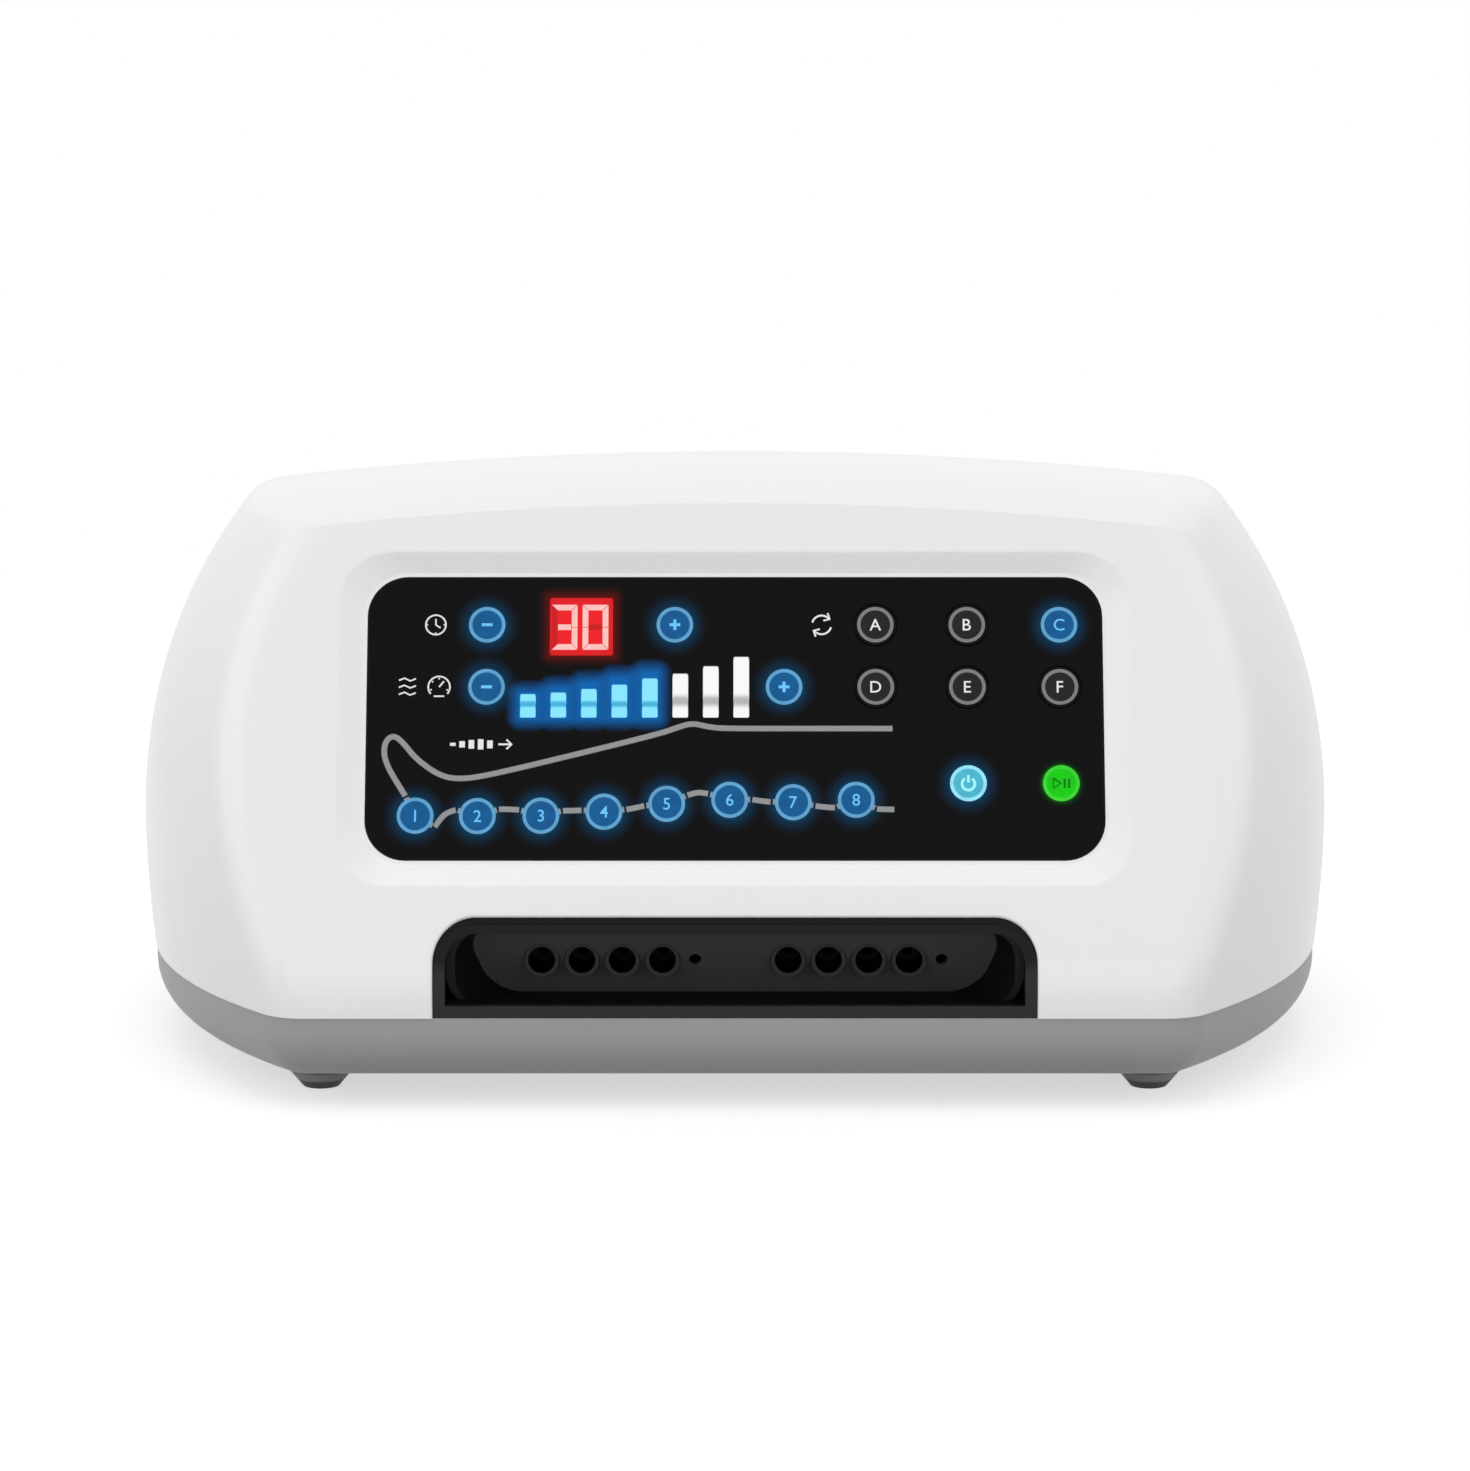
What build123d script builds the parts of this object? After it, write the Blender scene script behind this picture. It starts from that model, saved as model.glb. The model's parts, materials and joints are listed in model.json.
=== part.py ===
from build123d import *
import math
import os

# Compression therapy pump: a desktop air console that inflates the chambers of a
# pair of leg sleeves through eight hose ports under its control panel.
# Millimetres. X to the right, the front faces -Y, Z up, origin under the middle
# of the case at the level of the feet.

# ---------------------------------------------------------------- case, outside
WIDTH = 312.0             # side to side at the widest height
WIDEST_Z = 57.0
TOP_Z = 150.2             # ridge of the crowned top
PARTING_Z = 23.5          # joint between the white cover and the grey base
BASE_Z = 7.0              # underside of the base
FRONT_Y = -108.0
REAR_Y = 105.0
LEAN = 22.5               # degrees that the front leans back
BEND_Z = 33.5             # height where the upright front turns into the leaning one
BEND_R = 40.0
SIDE_AXIS_X = 19.0        # each side is turned about an upright axis across the middle
SIDE_AXIS_Y = 5.0
FLANK_LOW_R = 280.0       # side profile below, above and well above the widest height
FLANK_MID_R = 137.0
FLANK_TOP_R = 128.0
FLANK_MID_SWEEP = 16.0
FLANK_TOP_SWEEP = 40.0
RIDGE_Y = -10.0
CROWN_LONG_R = 1100.0     # crown of the top, side to side
CROWN_CROSS_R = 260.0     # crown of the top, front to back
ROLL_FRONT_R = 12.0
ROLL_REAR_R = 22.0
CORNER_R = 13.0
WALL = 2.6
CLEARANCE = 0.15          # all round between parts that are fitted together and stay put
GAP = 0.3                 # all round between a moving part and what it moves in
OVERRUN = 25.0            # cutting bodies reach this far beyond the case
NEAR = 0.1                # an edge this near to a place is taken to be there
TOUCH = 0.01              # an edge this near to a face lies on it
BITE = 1.0                # how far a piece that is added or cut runs into its neighbour
SMALL_R = 0.5             # corners of small moulded windows, drawers and flanges

# ---------------------------------------------------------------- base and feet
SHADOW_STEP = 0.4         # the base is this much smaller than the cover all round
BASE_ROUND_R = 12.0
BASE_WALL = 4.0
BASE_FLOOR = 2.6
LIP_WALL = 1.4
LIP_HEIGHT = 2.6
LIP_BAY_GAP = 2.0         # the lip stops that far from the bay opening
FOOT_X = 104.0
FOOT_Y = 80.0
FOOT_R = 9.0
FOOT_SOLE_R = 4.6
FOOT_BAND_H = 1.4         # straight band under the base, then a shoulder down to the sole
FOOT_SHOULDER_W = 1.2
FOOT_SHOULDER_H = 1.75
FOOT_STEM_R = 3.0
FOOT_BARB = 1.2           # head of the stem, pulled through the base's floor
FOOT_BARB_H = 3.0
CASE_SCREW_X = 116.0
CASE_SCREW_Y = 56.0       # either side of the side axes
CASE_SCREW_GRIP = 12.0    # length of the screw in the cover's boss
BOSS_R = 5.2
BOSS_MEET = 3.6           # bosses of the base and the cover meet above the parting line
BOSS_H = 30.0             # cover's boss
RIB_T = 2.5
SCREW_R = 1.5
SCREW_HEAD_R = 2.9
SCREW_HEAD_H = 1.8

# ---------------------------------------------------------------- control panel
PANEL_Z = 94.65           # height of the panel's centre on the outer face
PANEL_W = 183.0
PANEL_H = 72.0
PANEL_R = 10.0
PANEL_T = 2.4
SINK = 3.0                # depth of the panel below the face
MARGIN = 1.1              # flat white margin round the panel
BORDER_SIDE = 7.0         # margin and sloping border round the panel
BORDER_TOP = 6.0
BORDER_BOTTOM = 7.0
BORDER_R = 13.0
BORDER_EDGE_R = 1.5       # softened edge where the border leaves the face
PANEL_EDGE_R = 0.3
FRAME_RIM = 4.0           # moulded frame behind the panel
FRAME_DEPTH = 9.0
LEDGE = 4.5
LEDGE_GAP = 0.05          # least room between the ledge and the flange of a key
BOARD_W = 192.0
BOARD_H = 82.0
BOARD_R = 3.0             # corners of the key board
BOARD_T = 1.6
BOARD_DEPTH = 15.0        # from the outer face to the key board
BOARD_SCREW_X = 92.0
BOARD_SCREW_V = 37.0
BOARD_POST_R = 3.2

KEY_R = 5.2
KEY_PROUD = 0.15
KEY_TRAVEL = 0.5
KEY_FLANGE = 0.9          # flange beyond the cap
KEY_FLANGE_T = 1.0
KEY_STEM_R = 2.0
SWITCH_SIZE = 6.0
SWITCH_H = 3.4
PLUNGER_R = 1.7
PLUNGER_H = 1.4
KEYS = {                  # key name: place on the panel, right of and above its centre
    "time_down_key": (-61.8, 23.8),
    "time_up_key": (-15.0, 23.8),
    "pressure_down_key": (-61.8, 7.9),
    "pressure_up_key": (12.2, 7.9),
    "mode_a_key": (35.0, 23.8),
    "mode_b_key": (57.8, 23.8),
    "mode_c_key": (80.8, 23.8),
    "mode_d_key": (35.0, 7.9),
    "mode_e_key": (57.8, 7.9),
    "mode_f_key": (80.8, 7.9),
    "power_key": (57.8, -16.6),
    "start_pause_key": (80.8, -16.6),
    "chamber_1_key": (-79.1, -24.8),
    "chamber_2_key": (-63.7, -24.9),
    "chamber_3_key": (-48.0, -24.8),
    "chamber_4_key": (-32.4, -23.8),
    "chamber_5_key": (-16.9, -21.8),
    "chamber_6_key": (-1.3, -20.8),
    "chamber_7_key": (14.4, -21.4),
    "chamber_8_key": (30.0, -20.8),
}
DISPLAY_U = -38.3
DISPLAY_V = 23.4
DISPLAY_W = 15.7
DISPLAY_H = 14.6
DISPLAY_T = 1.2
DISPLAY_R = 0.8
DISPLAY_LEDGE = 1.0
CAN_MARGIN = 1.0          # display can beyond its window, both sides together
BAR_W = 3.6
BAR_R = 0.3               # corners of a bar
BAR_SLOT_EASE = 0.1       # corners of its slot are that much rounder
BAR_PITCH = 7.58
BAR_FIRST_U = -51.5
BAR_FOOT_V = 0.25
BAR_HEIGHTS = (5.8, 6.2, 7.1, 8.2, 9.8, 11.0, 12.9, 15.3)
BAR_FLANGE = 0.8          # flange behind each light guide, all round
BAR_FLANGE_T = 0.9
LIGHT_W = 3.2
LIGHT_H = 1.9
LIGHT_OFFSET = 0.4        # between a light and its key switch

# ---------------------------------------------------------------- hose port bay
BAY_HALF_W = 74.2
BAY_TOP_Z = 47.3
BAY_R = 10.5
BAY_RIM = 3.0
BAY_CUT = 15.6            # the opening is cut that far in from the front
BAY_RIM_TOP = 3.4
BAY_SILL = 3.0            # height of the rim's bottom bar
BAY_EDGE_R = 0.8          # rounded edge of the opening in the cover
BAY_SET_BACK = 0.5        # rim behind the cover's face
BAY_WALL = 2.2
BAY_FLOOR = 1.4
BAY_MOUTH = 4.0           # depth of the straight rim
BAY_BACK_Y = -72.0
BAY_BACK_HALF_W = 54.0
PLATE_TOP_Y = -96.0       # socket plate leans, with its top forward
PLATE_FOOT_Y = -84.0
PLATE_T = 2.6
PORT_Z = 34.45
PORT_PITCH = 10.0
PORT_COUNT = 4            # in each of the two clusters
CLUSTER_FIRST_X = (-48.0, 13.2)
PORT_R = 3.35
PORT_WALL = 0.95
PORT_DEPTH = 14.0
PORT_MOUTH_Y = -91.0
PORT_END = 2.0
PASSAGE_R = 1.5
BARB_R = 2.3
BARB_L = 7.0
KEYING_R = 1.5
KEYING_DX = 8.1           # keying hole beyond the last port of its cluster
TUBE_WALL = 1.2

# ---------------------------------------------------------------- valves
MANIFOLD_H = 16.0
MANIFOLD_D = 16.0
MANIFOLD_Y = -35.0
MANIFOLD_END = 9.6        # beyond the outer ports
NIPPLE_L = 6.0
COIL_W = 8.8
COIL_D = 15.0
COIL_TOP = 2.0            # above the plunger's bore
VALVE_BORE_R = 2.4
VALVE_TRAVEL = 1.2
VALVE_SPRING_L = 3.8      # room left for the spring above the raised plunger
VALVE_PLUNGER_L = 13.0
VALVE_PLUNGER_EDGE = 0.4
MANIFOLD_SCREW_GRIP = 5.0

# ---------------------------------------------------------------- air pump
PUMP_X = -52.0
PUMP_Y = 30.0
PUMP_W = 96.0
PUMP_D = 62.0
PUMP_PLATE = 3.0
PUMP_H = 54.0
PUMP_AXIS_H = 24.0        # armature's axis above the underside of the foot plate
MOUNT_R = 6.0
MOUNT_H = 10.4
MOUNT_INSET_X = 4.0       # rubber mounts from the edges of the foot plate
MOUNT_INSET_Y = 1.0
WAIST_OUT = 1.0           # groove round the middle of each rubber mount
WAIST_R = 2.2
ARMATURE_L = 76.0
ARMATURE_D = 14.0
ARMATURE_H = 22.0
ARMATURE_SHAFT_R = 4.0
ARMATURE_TRAVEL = 1.5
ARMATURE_DISC_R = 9.0
ARMATURE_DISC_T = 2.0
PORTHOLE_R = 14.0         # opening in each end plate and head
DIAPHRAGM_R = 20.0
DIAPHRAGM_T = 1.6
HEAD_R = 21.0
HEAD_L = 16.4
HEAD_CHAMBER_L = 8.4
MAGNET_GAP = 1.5
MAGNET_W = 40.0
MAGNET_D = 16.0
MAGNET_H = 36.0
WINDING_W = 20.0
WINDING_IN = 2.0          # winding behind the core's inner face
WINDING_OUT = 4.0         # winding beyond the core's outer face
WINDING_UP = 3.0
NIPPLE_FROM_END = 4.0     # hose nipple from the far end of a pump head
HOSE_R = 4.0
HOSE_BORE_R = 2.5
HOSE_BEND_R = 7.0
HOSE_END_RUN = 13.0       # straight run at each end of the inner hose
HOSE_DROP = 2.0           # outer hose joins the manifold this far below the ports

# ---------------------------------------------------------------- electronics
MAIN_BOARD_X = 83.0
MAIN_BOARD_Y = -31.0
MAIN_BOARD_W = 50.0
MAIN_BOARD_D = 66.0
MAIN_BOARD_R = 2.0
MAIN_BOARD_POST_H = 9.0
MAIN_BOARD_INSET = 4.5
MAIN_BOARD_SCREW_L = 6.0
KEY_BOARD_SCREW_L = 5.0
CAPACITORS = (            # place on the board from its middle, radius, height
    (-14.0, 18.0, 5.0, 20.0),
    (-2.0, 18.0, 5.0, 20.0),
    (10.0, 20.0, 4.0, 14.0),
)
SOUNDER = (9.0, -22.0, 6.0, 9.0)
SINK_X = -19.0            # heat sink: its corner on the board, then its plate and fins
SINK_Y = -6.0
SINK_T = 3.0
SINK_L = 16.0
SINK_H = 22.0
FIN_COUNT = 4
FIN_PITCH = 4.5
FIN_T = 1.5
FIN_L = 6.0
CHIP_COUNT = 4            # valve driver chips
CHIP_X = -3.0
CHIP_Y = -4.0
CHIP_PITCH = 6.5
CHIP_SIZE = (4.5, 12.0, 2.0)
PLUG_COUNT = 2            # plugs of the wiring
PLUG_X = -16.0
PLUG_Y = -29.0
PLUG_PITCH = 11.0
PLUG_SIZE = (8.0, 6.0, 8.0)
TRANSFORMER_X = 76.0
TRANSFORMER_Y = 42.0
TRANSFORMER_W = 62.0
TRANSFORMER_D = 44.0
TRANSFORMER_H = 50.0
TRANSFORMER_TAB = 9.0
TRANSFORMER_TAB_T = 2.0
TRANSFORMER_TAB_W = 16.0
CORE_INSET = 8.0          # core narrower than the bobbin, each side
BOBBIN_INSET = 12.0       # bobbin shorter than the core, each end
BOBBIN_UP = 8.0           # bobbin clear of the core's foot and top
BOBBIN_R = 4.0

# ---------------------------------------------------------------- rear, mains side
INLET_X = 84.0
INLET_Z = 66.0
INLET_FLANGE_W = 50.0
INLET_FLANGE_H = 60.0
INLET_FLANGE_T = 2.4
INLET_FLANGE_R = 4.0
INLET_BODY_W = 30.0
INLET_BODY_H = 55.0
INLET_R = 1.0             # corners of the body and of its hole in the rear wall
INLET_BODY_D = 25.0
INLET_EDGE_R = 0.8
INLET_SCREW_X = 20.0
INLET_SCREW_TAIL = 2.2    # screw beyond the cover's wall
SOCKET_DZ = -16.0         # appliance socket, below the module's middle
SOCKET_W = 24.6
SOCKET_H = 16.6
SOCKET_R = 2.0
SOCKET_DEPTH = 17.0
PIN_W = 4.0
PIN_R = 0.6
PIN_T = 2.0
PIN_L = 15.0
PIN_PITCH = 14.0
PIN_DZ = 1.2              # live and neutral pins above the socket's middle
EARTH_DZ = 4.6
FUSE_DZ = 1.5
FUSE_W = 22.0
FUSE_H = 8.0
FUSE_TAB_T = 0.6
FUSE_TAB_H = 1.6
FUSE_TAB_INSET = 3.0      # finger tab shorter than the drawer, each end
FUSE_R = 2.5
FUSE_L = 19.0
FUSE_CAP_L = 5.0
DRAWER_TRAVEL = 16.0
DRAWER_STAY = 3.0         # length still held when the drawer is out
DRAWER_BACK_T = 2.0
ROCKER_DZ = 17.5
ROCKER_W = 19.4
ROCKER_H = 12.2
ROCKER_PIVOT_IN = 5.0     # pivot behind the module's face
ROCKER_CREST = 4.8        # crest of the rocker in front of its pivot
ROCKER_END = 3.8
ROCKER_SHOULDER = 0.6
ROCKER_KEEL = 4.4         # keel behind the pivot, half as wide as the rocker
ROCKER_ROOM = 0.8         # free at each end of the rocker
ROCKER_TILT = 8.0
ROCKER_PIN_R = 1.4
ROCKER_PIN_L = 1.0
ROCKER_POCKET = 13.0
VENT_COUNT = 9
VENT_W = 2.6
VENT_H = 34.0
VENT_PITCH = 7.5
VENT_X = -52.0
VENT_Z = 66.0
VENT_ROUND = 0.98         # share of half the slot's width that rounds its ends

# ---------------------------------------------------------------- worked out
lean_tan = math.tan(math.radians(LEAN))
lean_sin = math.sin(math.radians(LEAN))
lean_cos = math.cos(math.radians(LEAN))
panel_y = FRONT_Y + (PANEL_Z - BEND_Z) * lean_tan
FACE = Plane((0, panel_y, PANEL_Z), x_dir=(1, 0, 0), z_dir=(0, -lean_cos, lean_sin)).location
floor_z = BASE_Z + BASE_FLOOR
boss_meet_z = PARTING_Z + BOSS_MEET
fuse_depth = DRAWER_TRAVEL + DRAWER_STAY
port_xs = [x + i * PORT_PITCH for x in CLUSTER_FIRST_X for i in range(PORT_COUNT)]
far = 4 * WIDTH           # longer than anything, for cutting tools


# ---------------------------------------------------------------- helpers
def rod(radius, start, end):
    """Cylinder on Z from start to end."""
    return Pos(0, 0, (start + end) / 2) * Cylinder(radius, end - start)


def rod_y(radius, x, z, start, end):
    """Cylinder along Y from start to end."""
    return Pos(x, (start + end) / 2, z) * Rot(90, 0, 0) * Cylinder(radius, end - start)


def rod_x(radius, y, z, start, end):
    """Cylinder along X from start to end."""
    return Pos((start + end) / 2, y, z) * Rot(0, 90, 0) * Cylinder(radius, end - start)


def brick(low, high):
    """Box between two corners."""
    size = [h - l for l, h in zip(low, high)]
    middle = [(h + l) / 2 for l, h in zip(low, high)]
    return Pos(*middle) * Box(*size)


def slab(width, height, radius, start, end):
    """Round-cornered plate in the XY plane, from start to end on Z."""
    return Pos(0, 0, start) * extrude(RectangleRounded(width, height, radius), end - start)


def upright(width, height, radius, x, z, start, end):
    """Round-cornered plate standing in the XZ plane, from start to end on Y."""
    plate = Rot(90, 0, 0) * slab(width, height, radius, -end, -start)
    return Pos(x, 0, z) * plate


def on_face(u, v, depth=0.0):
    """Place on the leaning face: right, up the face, and depth below it."""
    return FACE * Pos(u, v, -depth)


def corner_box(x, y, size):
    """Box of a given size standing on Z = 0, from its low corner."""
    return brick((x, y, 0), (x + size[0], y + size[1], size[2]))


def group(solids):
    """Several separate solids kept as one node."""
    return Compound(children=list(solids))


# ---------------------------------------------------------------- case surfaces
def flank_solid(inset):
    """Body turned about the left axis, whose outside is the right flank."""
    reach = WIDTH / 2
    low_c = (reach - FLANK_LOW_R, WIDEST_Z)
    mid_c = (reach - FLANK_MID_R, WIDEST_Z)
    turn = math.radians(FLANK_MID_SWEEP)
    step = FLANK_MID_R - FLANK_TOP_R
    top_c = (mid_c[0] + step * math.cos(turn), mid_c[1] + step * math.sin(turn))
    drop = math.degrees(math.asin((WIDEST_Z - BASE_Z / 2) / FLANK_LOW_R))
    low = CenterArc(low_c, FLANK_LOW_R - inset, -drop, drop)
    mid = CenterArc(mid_c, FLANK_MID_R - inset, 0, FLANK_MID_SWEEP)
    top = CenterArc(top_c, FLANK_TOP_R - inset, FLANK_MID_SWEEP, FLANK_TOP_SWEEP)
    start, end = low @ 0, top @ 1
    back = Polyline(end, (-SIDE_AXIS_X, end.Y), (-SIDE_AXIS_X, start.Y), start)
    profile = Plane.XZ.offset(-SIDE_AXIS_Y) * make_face(low + mid + top + back)
    return revolve(profile, Axis((-SIDE_AXIS_X, SIDE_AXIS_Y, 0), (0, 0, 1)), 360)


def front_and_rear(inset):
    """Bar with the leaning front and the flat rear."""
    bend_z = BEND_Z - inset * math.tan(math.radians(LEAN / 2))
    front = FRONT_Y + inset
    rear = REAR_Y - inset
    high = TOP_Z + OVERRUN
    outline = Polyline(
        (front, -BASE_Z),
        (front, bend_z),
        (front + (high - bend_z) * lean_tan, high),
        (rear, high),
        (rear, -BASE_Z),
        close=True,
    )
    bar = extrude(Plane.YZ * make_face(outline), WIDTH / 2 + OVERRUN, both=True)
    bend = [e for e in bar.edges() if abs(e.center().Z - bend_z) < TOUCH and e.center().Y < 0]
    return fillet(bend, BEND_R)


def crown_solid(inset):
    """Barrel whose top is the crowned top of the case."""
    radius = CROWN_LONG_R - inset
    spread = math.degrees(math.asin((WIDTH / 2 + OVERRUN) / radius))
    arc = CenterArc((0, TOP_Z - CROWN_LONG_R), radius, 90 + spread, -2 * spread)
    axis_z = TOP_Z - CROWN_CROSS_R
    left, right = arc @ 0, arc @ 1
    back = Polyline(right, (right.X, axis_z), (left.X, axis_z), left)
    profile = Plane.XZ.offset(-RIDGE_Y) * make_face(arc + back)
    return revolve(profile, Axis((0, RIDGE_Y, axis_z), (1, 0, 0)), 360)


def cover_block(inset, bottom):
    """The cover's outside moved inwards by inset, cut off below bottom."""
    block = front_and_rear(inset) & crown_solid(inset)
    rolls = [e for e in block.edges() if abs(e.center().X) < 1 and e.center().Z > WIDEST_Z]
    front = [e for e in rolls if e.center().Y < RIDGE_Y]
    rear = [e for e in rolls if e.center().Y > RIDGE_Y]
    block = fillet(front, ROLL_FRONT_R - inset)
    block = fillet(rear, ROLL_REAR_R - inset)
    flank = flank_solid(inset)
    block = block & flank & mirror(flank, Plane.YZ)
    block = block - brick((-far, -far, -far), (far, far, bottom))
    corners = []
    for edge in block.edges():
        tall = edge.bounding_box().size.Z > 0.5
        if tall and abs(edge.center().X) > WIDTH / 4:
            corners.append(edge)
    return fillet(corners, CORNER_R - inset)


def plan_radius():
    """Plan radius of the flanks at the parting line."""
    rise = math.sqrt(FLANK_LOW_R**2 - (WIDEST_Z - PARTING_Z) ** 2)
    return WIDTH / 2 - FLANK_LOW_R + rise + SIDE_AXIS_X


def plan(inset):
    """Plan of the case at the parting line, moved inwards by inset."""
    depth = REAR_Y - FRONT_Y - 2 * inset
    radius = plan_radius() - inset
    shape = Pos(0, (REAR_Y + FRONT_Y) / 2) * Rectangle(2 * WIDTH, depth)
    shape = shape & Pos(-SIDE_AXIS_X, SIDE_AXIS_Y) * Circle(radius)
    shape = shape & Pos(SIDE_AXIS_X, SIDE_AXIS_Y) * Circle(radius)
    return fillet(shape.vertices(), CORNER_R - inset)


def screw(length):
    """Pan-head screw standing head down on Z = 0, with its shank upwards."""
    return rod(SCREW_HEAD_R, -SCREW_HEAD_H, 0) + rod(SCREW_R, 0, length)


case_screw_places = [
    (sx * CASE_SCREW_X, SIDE_AXIS_Y + sy * CASE_SCREW_Y) for sx in (-1, 1) for sy in (-1, 1)
]
foot_places = [(sx * FOOT_X, sy * FOOT_Y) for sx in (-1, 1) for sy in (-1, 1)]
board_screw_places = [(u, v) for u in (-BOARD_SCREW_X, 0, BOARD_SCREW_X) for v in (-1, 1)]
main_board_posts = [
    (
        MAIN_BOARD_X + sx * (MAIN_BOARD_W / 2 - MAIN_BOARD_INSET),
        MAIN_BOARD_Y + sy * (MAIN_BOARD_D / 2 - MAIN_BOARD_INSET),
    )
    for sx in (-1, 1)
    for sy in (-1, 1)
]
transformer_screws = [
    (TRANSFORMER_X + s * (TRANSFORMER_W + TRANSFORMER_TAB) / 2, TRANSFORMER_Y) for s in (-1, 1)
]
manifold_low_x = port_xs[0] - MANIFOLD_END
manifold_high_x = port_xs[-1] + MANIFOLD_END
manifold_foot_z = PORT_Z - MANIFOLD_H / 2
manifold_screws = [
    ((manifold_low_x + manifold_high_x) / 2 + s * (manifold_high_x - manifold_low_x) / 3, MANIFOLD_Y)
    for s in (-1, 1)
]


# ---------------------------------------------------------------- cover and base
def bay_outline(inset, start, end):
    """Bay opening, rounded at its top corners only, from start to end on Y."""
    top = BAY_TOP_Z - inset
    width = 2 * (BAY_HALF_W - inset)
    tall = 2 * (top - PARTING_Z)
    plate = upright(width, tall, BAY_R - inset, 0, PARTING_Z, start, end)
    return plate - brick((-far, -far, -far), (far, far, PARTING_Z + inset))


def front_face_y(z):
    """Where the front stands at a height, leaving out the rounding of its bend."""
    return FRONT_Y + max(0.0, z - BEND_Z) * lean_tan


def bay_opening(shell):
    """Cut the bay opening and round its outer edge."""
    shell = shell - bay_outline(0.0, FRONT_Y - WALL, FRONT_Y + BAY_CUT)
    rim = []
    for edge in shell.edges():
        ends = edge.vertices()
        beside = all(abs(p.X) < BAY_HALF_W + NEAR and p.Z < BAY_TOP_Z + NEAR for p in ends)
        outside = all(p.Y < front_face_y(p.Z) + WALL / 2 for p in ends)
        if beside and outside and edge.center().Z > PARTING_Z + NEAR:
            rim.append(edge)
    return fillet(rim, BAY_EDGE_R)


def panel_frame(shell):
    """Add the moulded frame of the control panel, with its sloping border and seat."""
    border_h = PANEL_H + BORDER_TOP + BORDER_BOTTOM
    border_w = PANEL_W + 2 * BORDER_SIDE
    border_v = (BORDER_TOP - BORDER_BOTTOM) / 2
    frame_w = border_w + 2 * FRAME_RIM
    frame_h = border_h + 2 * FRAME_RIM
    frame_r = BORDER_R + FRAME_RIM
    frame = on_face(0, border_v) * slab(frame_w, frame_h, frame_r, -FRAME_DEPTH, -WALL / 2)
    shell = shell + frame
    margin_w = PANEL_W + 2 * MARGIN
    margin_h = PANEL_H + 2 * MARGIN
    border = loft(
        [
            on_face(0, border_v) * RectangleRounded(border_w, border_h, BORDER_R),
            on_face(0, 0, SINK) * RectangleRounded(margin_w, margin_h, PANEL_R + MARGIN),
        ]
    )
    brim = on_face(0, border_v) * slab(border_w, border_h, BORDER_R, 0, WALL)
    shell = shell - (border + brim)
    rim = []
    for edge in shell.edges():
        place = (FACE.inverse() * Pos(edge.center())).position
        beside = abs(place.X) < border_w / 2 + NEAR and abs(place.Y - border_v) < border_h / 2 + NEAR
        if beside and abs(place.Z) < TOUCH:
            rim.append(edge)
    shell = fillet(rim, BORDER_EDGE_R)
    seat_w = PANEL_W + 2 * CLEARANCE
    seat_h = PANEL_H + 2 * CLEARANCE
    seat = slab(seat_w, seat_h, PANEL_R + CLEARANCE, -SINK - PANEL_T, -SINK + CLEARANCE)
    window_w = PANEL_W - 2 * LEDGE
    window_h = PANEL_H - 2 * LEDGE
    window = slab(window_w, window_h, PANEL_R - LEDGE, -2 * FRAME_DEPTH, 0)
    shell = shell - FACE * (seat + window)
    relief = KEY_R + KEY_FLANGE + LEDGE_GAP
    for u, v in KEYS.values():
        if abs(u) + relief > window_w / 2 or abs(v) + relief > window_h / 2:
            shell = shell - on_face(u, v) * rod(relief, -2 * FRAME_DEPTH, -SINK - PANEL_T)
    for u, side in board_screw_places:
        post = rod(BOARD_POST_R, -BOARD_DEPTH, BITE - FRAME_DEPTH)
        post = post - rod(SCREW_R, -BOARD_DEPTH, -FRAME_DEPTH)
        shell = shell + on_face(u, side * BOARD_SCREW_V) * post
    return shell


def rear_openings(shell):
    """Cut the hole of the mains module, its screw holes and the vents."""
    inner_y = REAR_Y - 2 * WALL
    outer_y = REAR_Y + WALL
    hole_w = INLET_BODY_W + 2 * CLEARANCE
    hole_h = INLET_BODY_H + 2 * CLEARANCE
    shell = shell - upright(hole_w, hole_h, INLET_R, INLET_X, INLET_Z, inner_y, outer_y)
    for side in (-1, 1):
        x = INLET_X + side * INLET_SCREW_X
        shell = shell - rod_y(SCREW_R, x, INLET_Z, inner_y, outer_y)
    for i in range(VENT_COUNT):
        x = VENT_X + (i - (VENT_COUNT - 1) / 2) * VENT_PITCH
        end_r = VENT_ROUND * VENT_W / 2
        shell = shell - upright(VENT_W, VENT_H, end_r, x, VENT_Z, inner_y, outer_y)
    return shell


def cover_bosses(shell):
    """Add the screw bosses, each tied to its flank by a rib."""
    boss_top = boss_meet_z + BOSS_H
    inside = cover_block(WALL / 2, PARTING_Z)
    for x, y in case_screw_places:
        rib = brick((0, y - RIB_T / 2, boss_meet_z), (WIDTH / 2, y + RIB_T / 2, boss_top))
        if x < 0:
            rib = mirror(rib, Plane.YZ)
        boss = Pos(x, y) * rod(BOSS_R, boss_meet_z, boss_top)
        shell = shell + ((Pos(x, 0, 0) * rib + boss) & inside)
    for x, y in case_screw_places:
        shell = shell - Pos(x, y) * rod(SCREW_R, boss_meet_z - BITE, boss_meet_z + CASE_SCREW_GRIP)
    return shell


def make_upper_shell():
    outer = cover_block(0.0, PARTING_Z)
    shell = outer - cover_block(WALL, PARTING_Z - WALL)
    shell = bay_opening(shell)
    shell = panel_frame(shell)
    shell = rear_openings(shell)
    return cover_bosses(shell)


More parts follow.
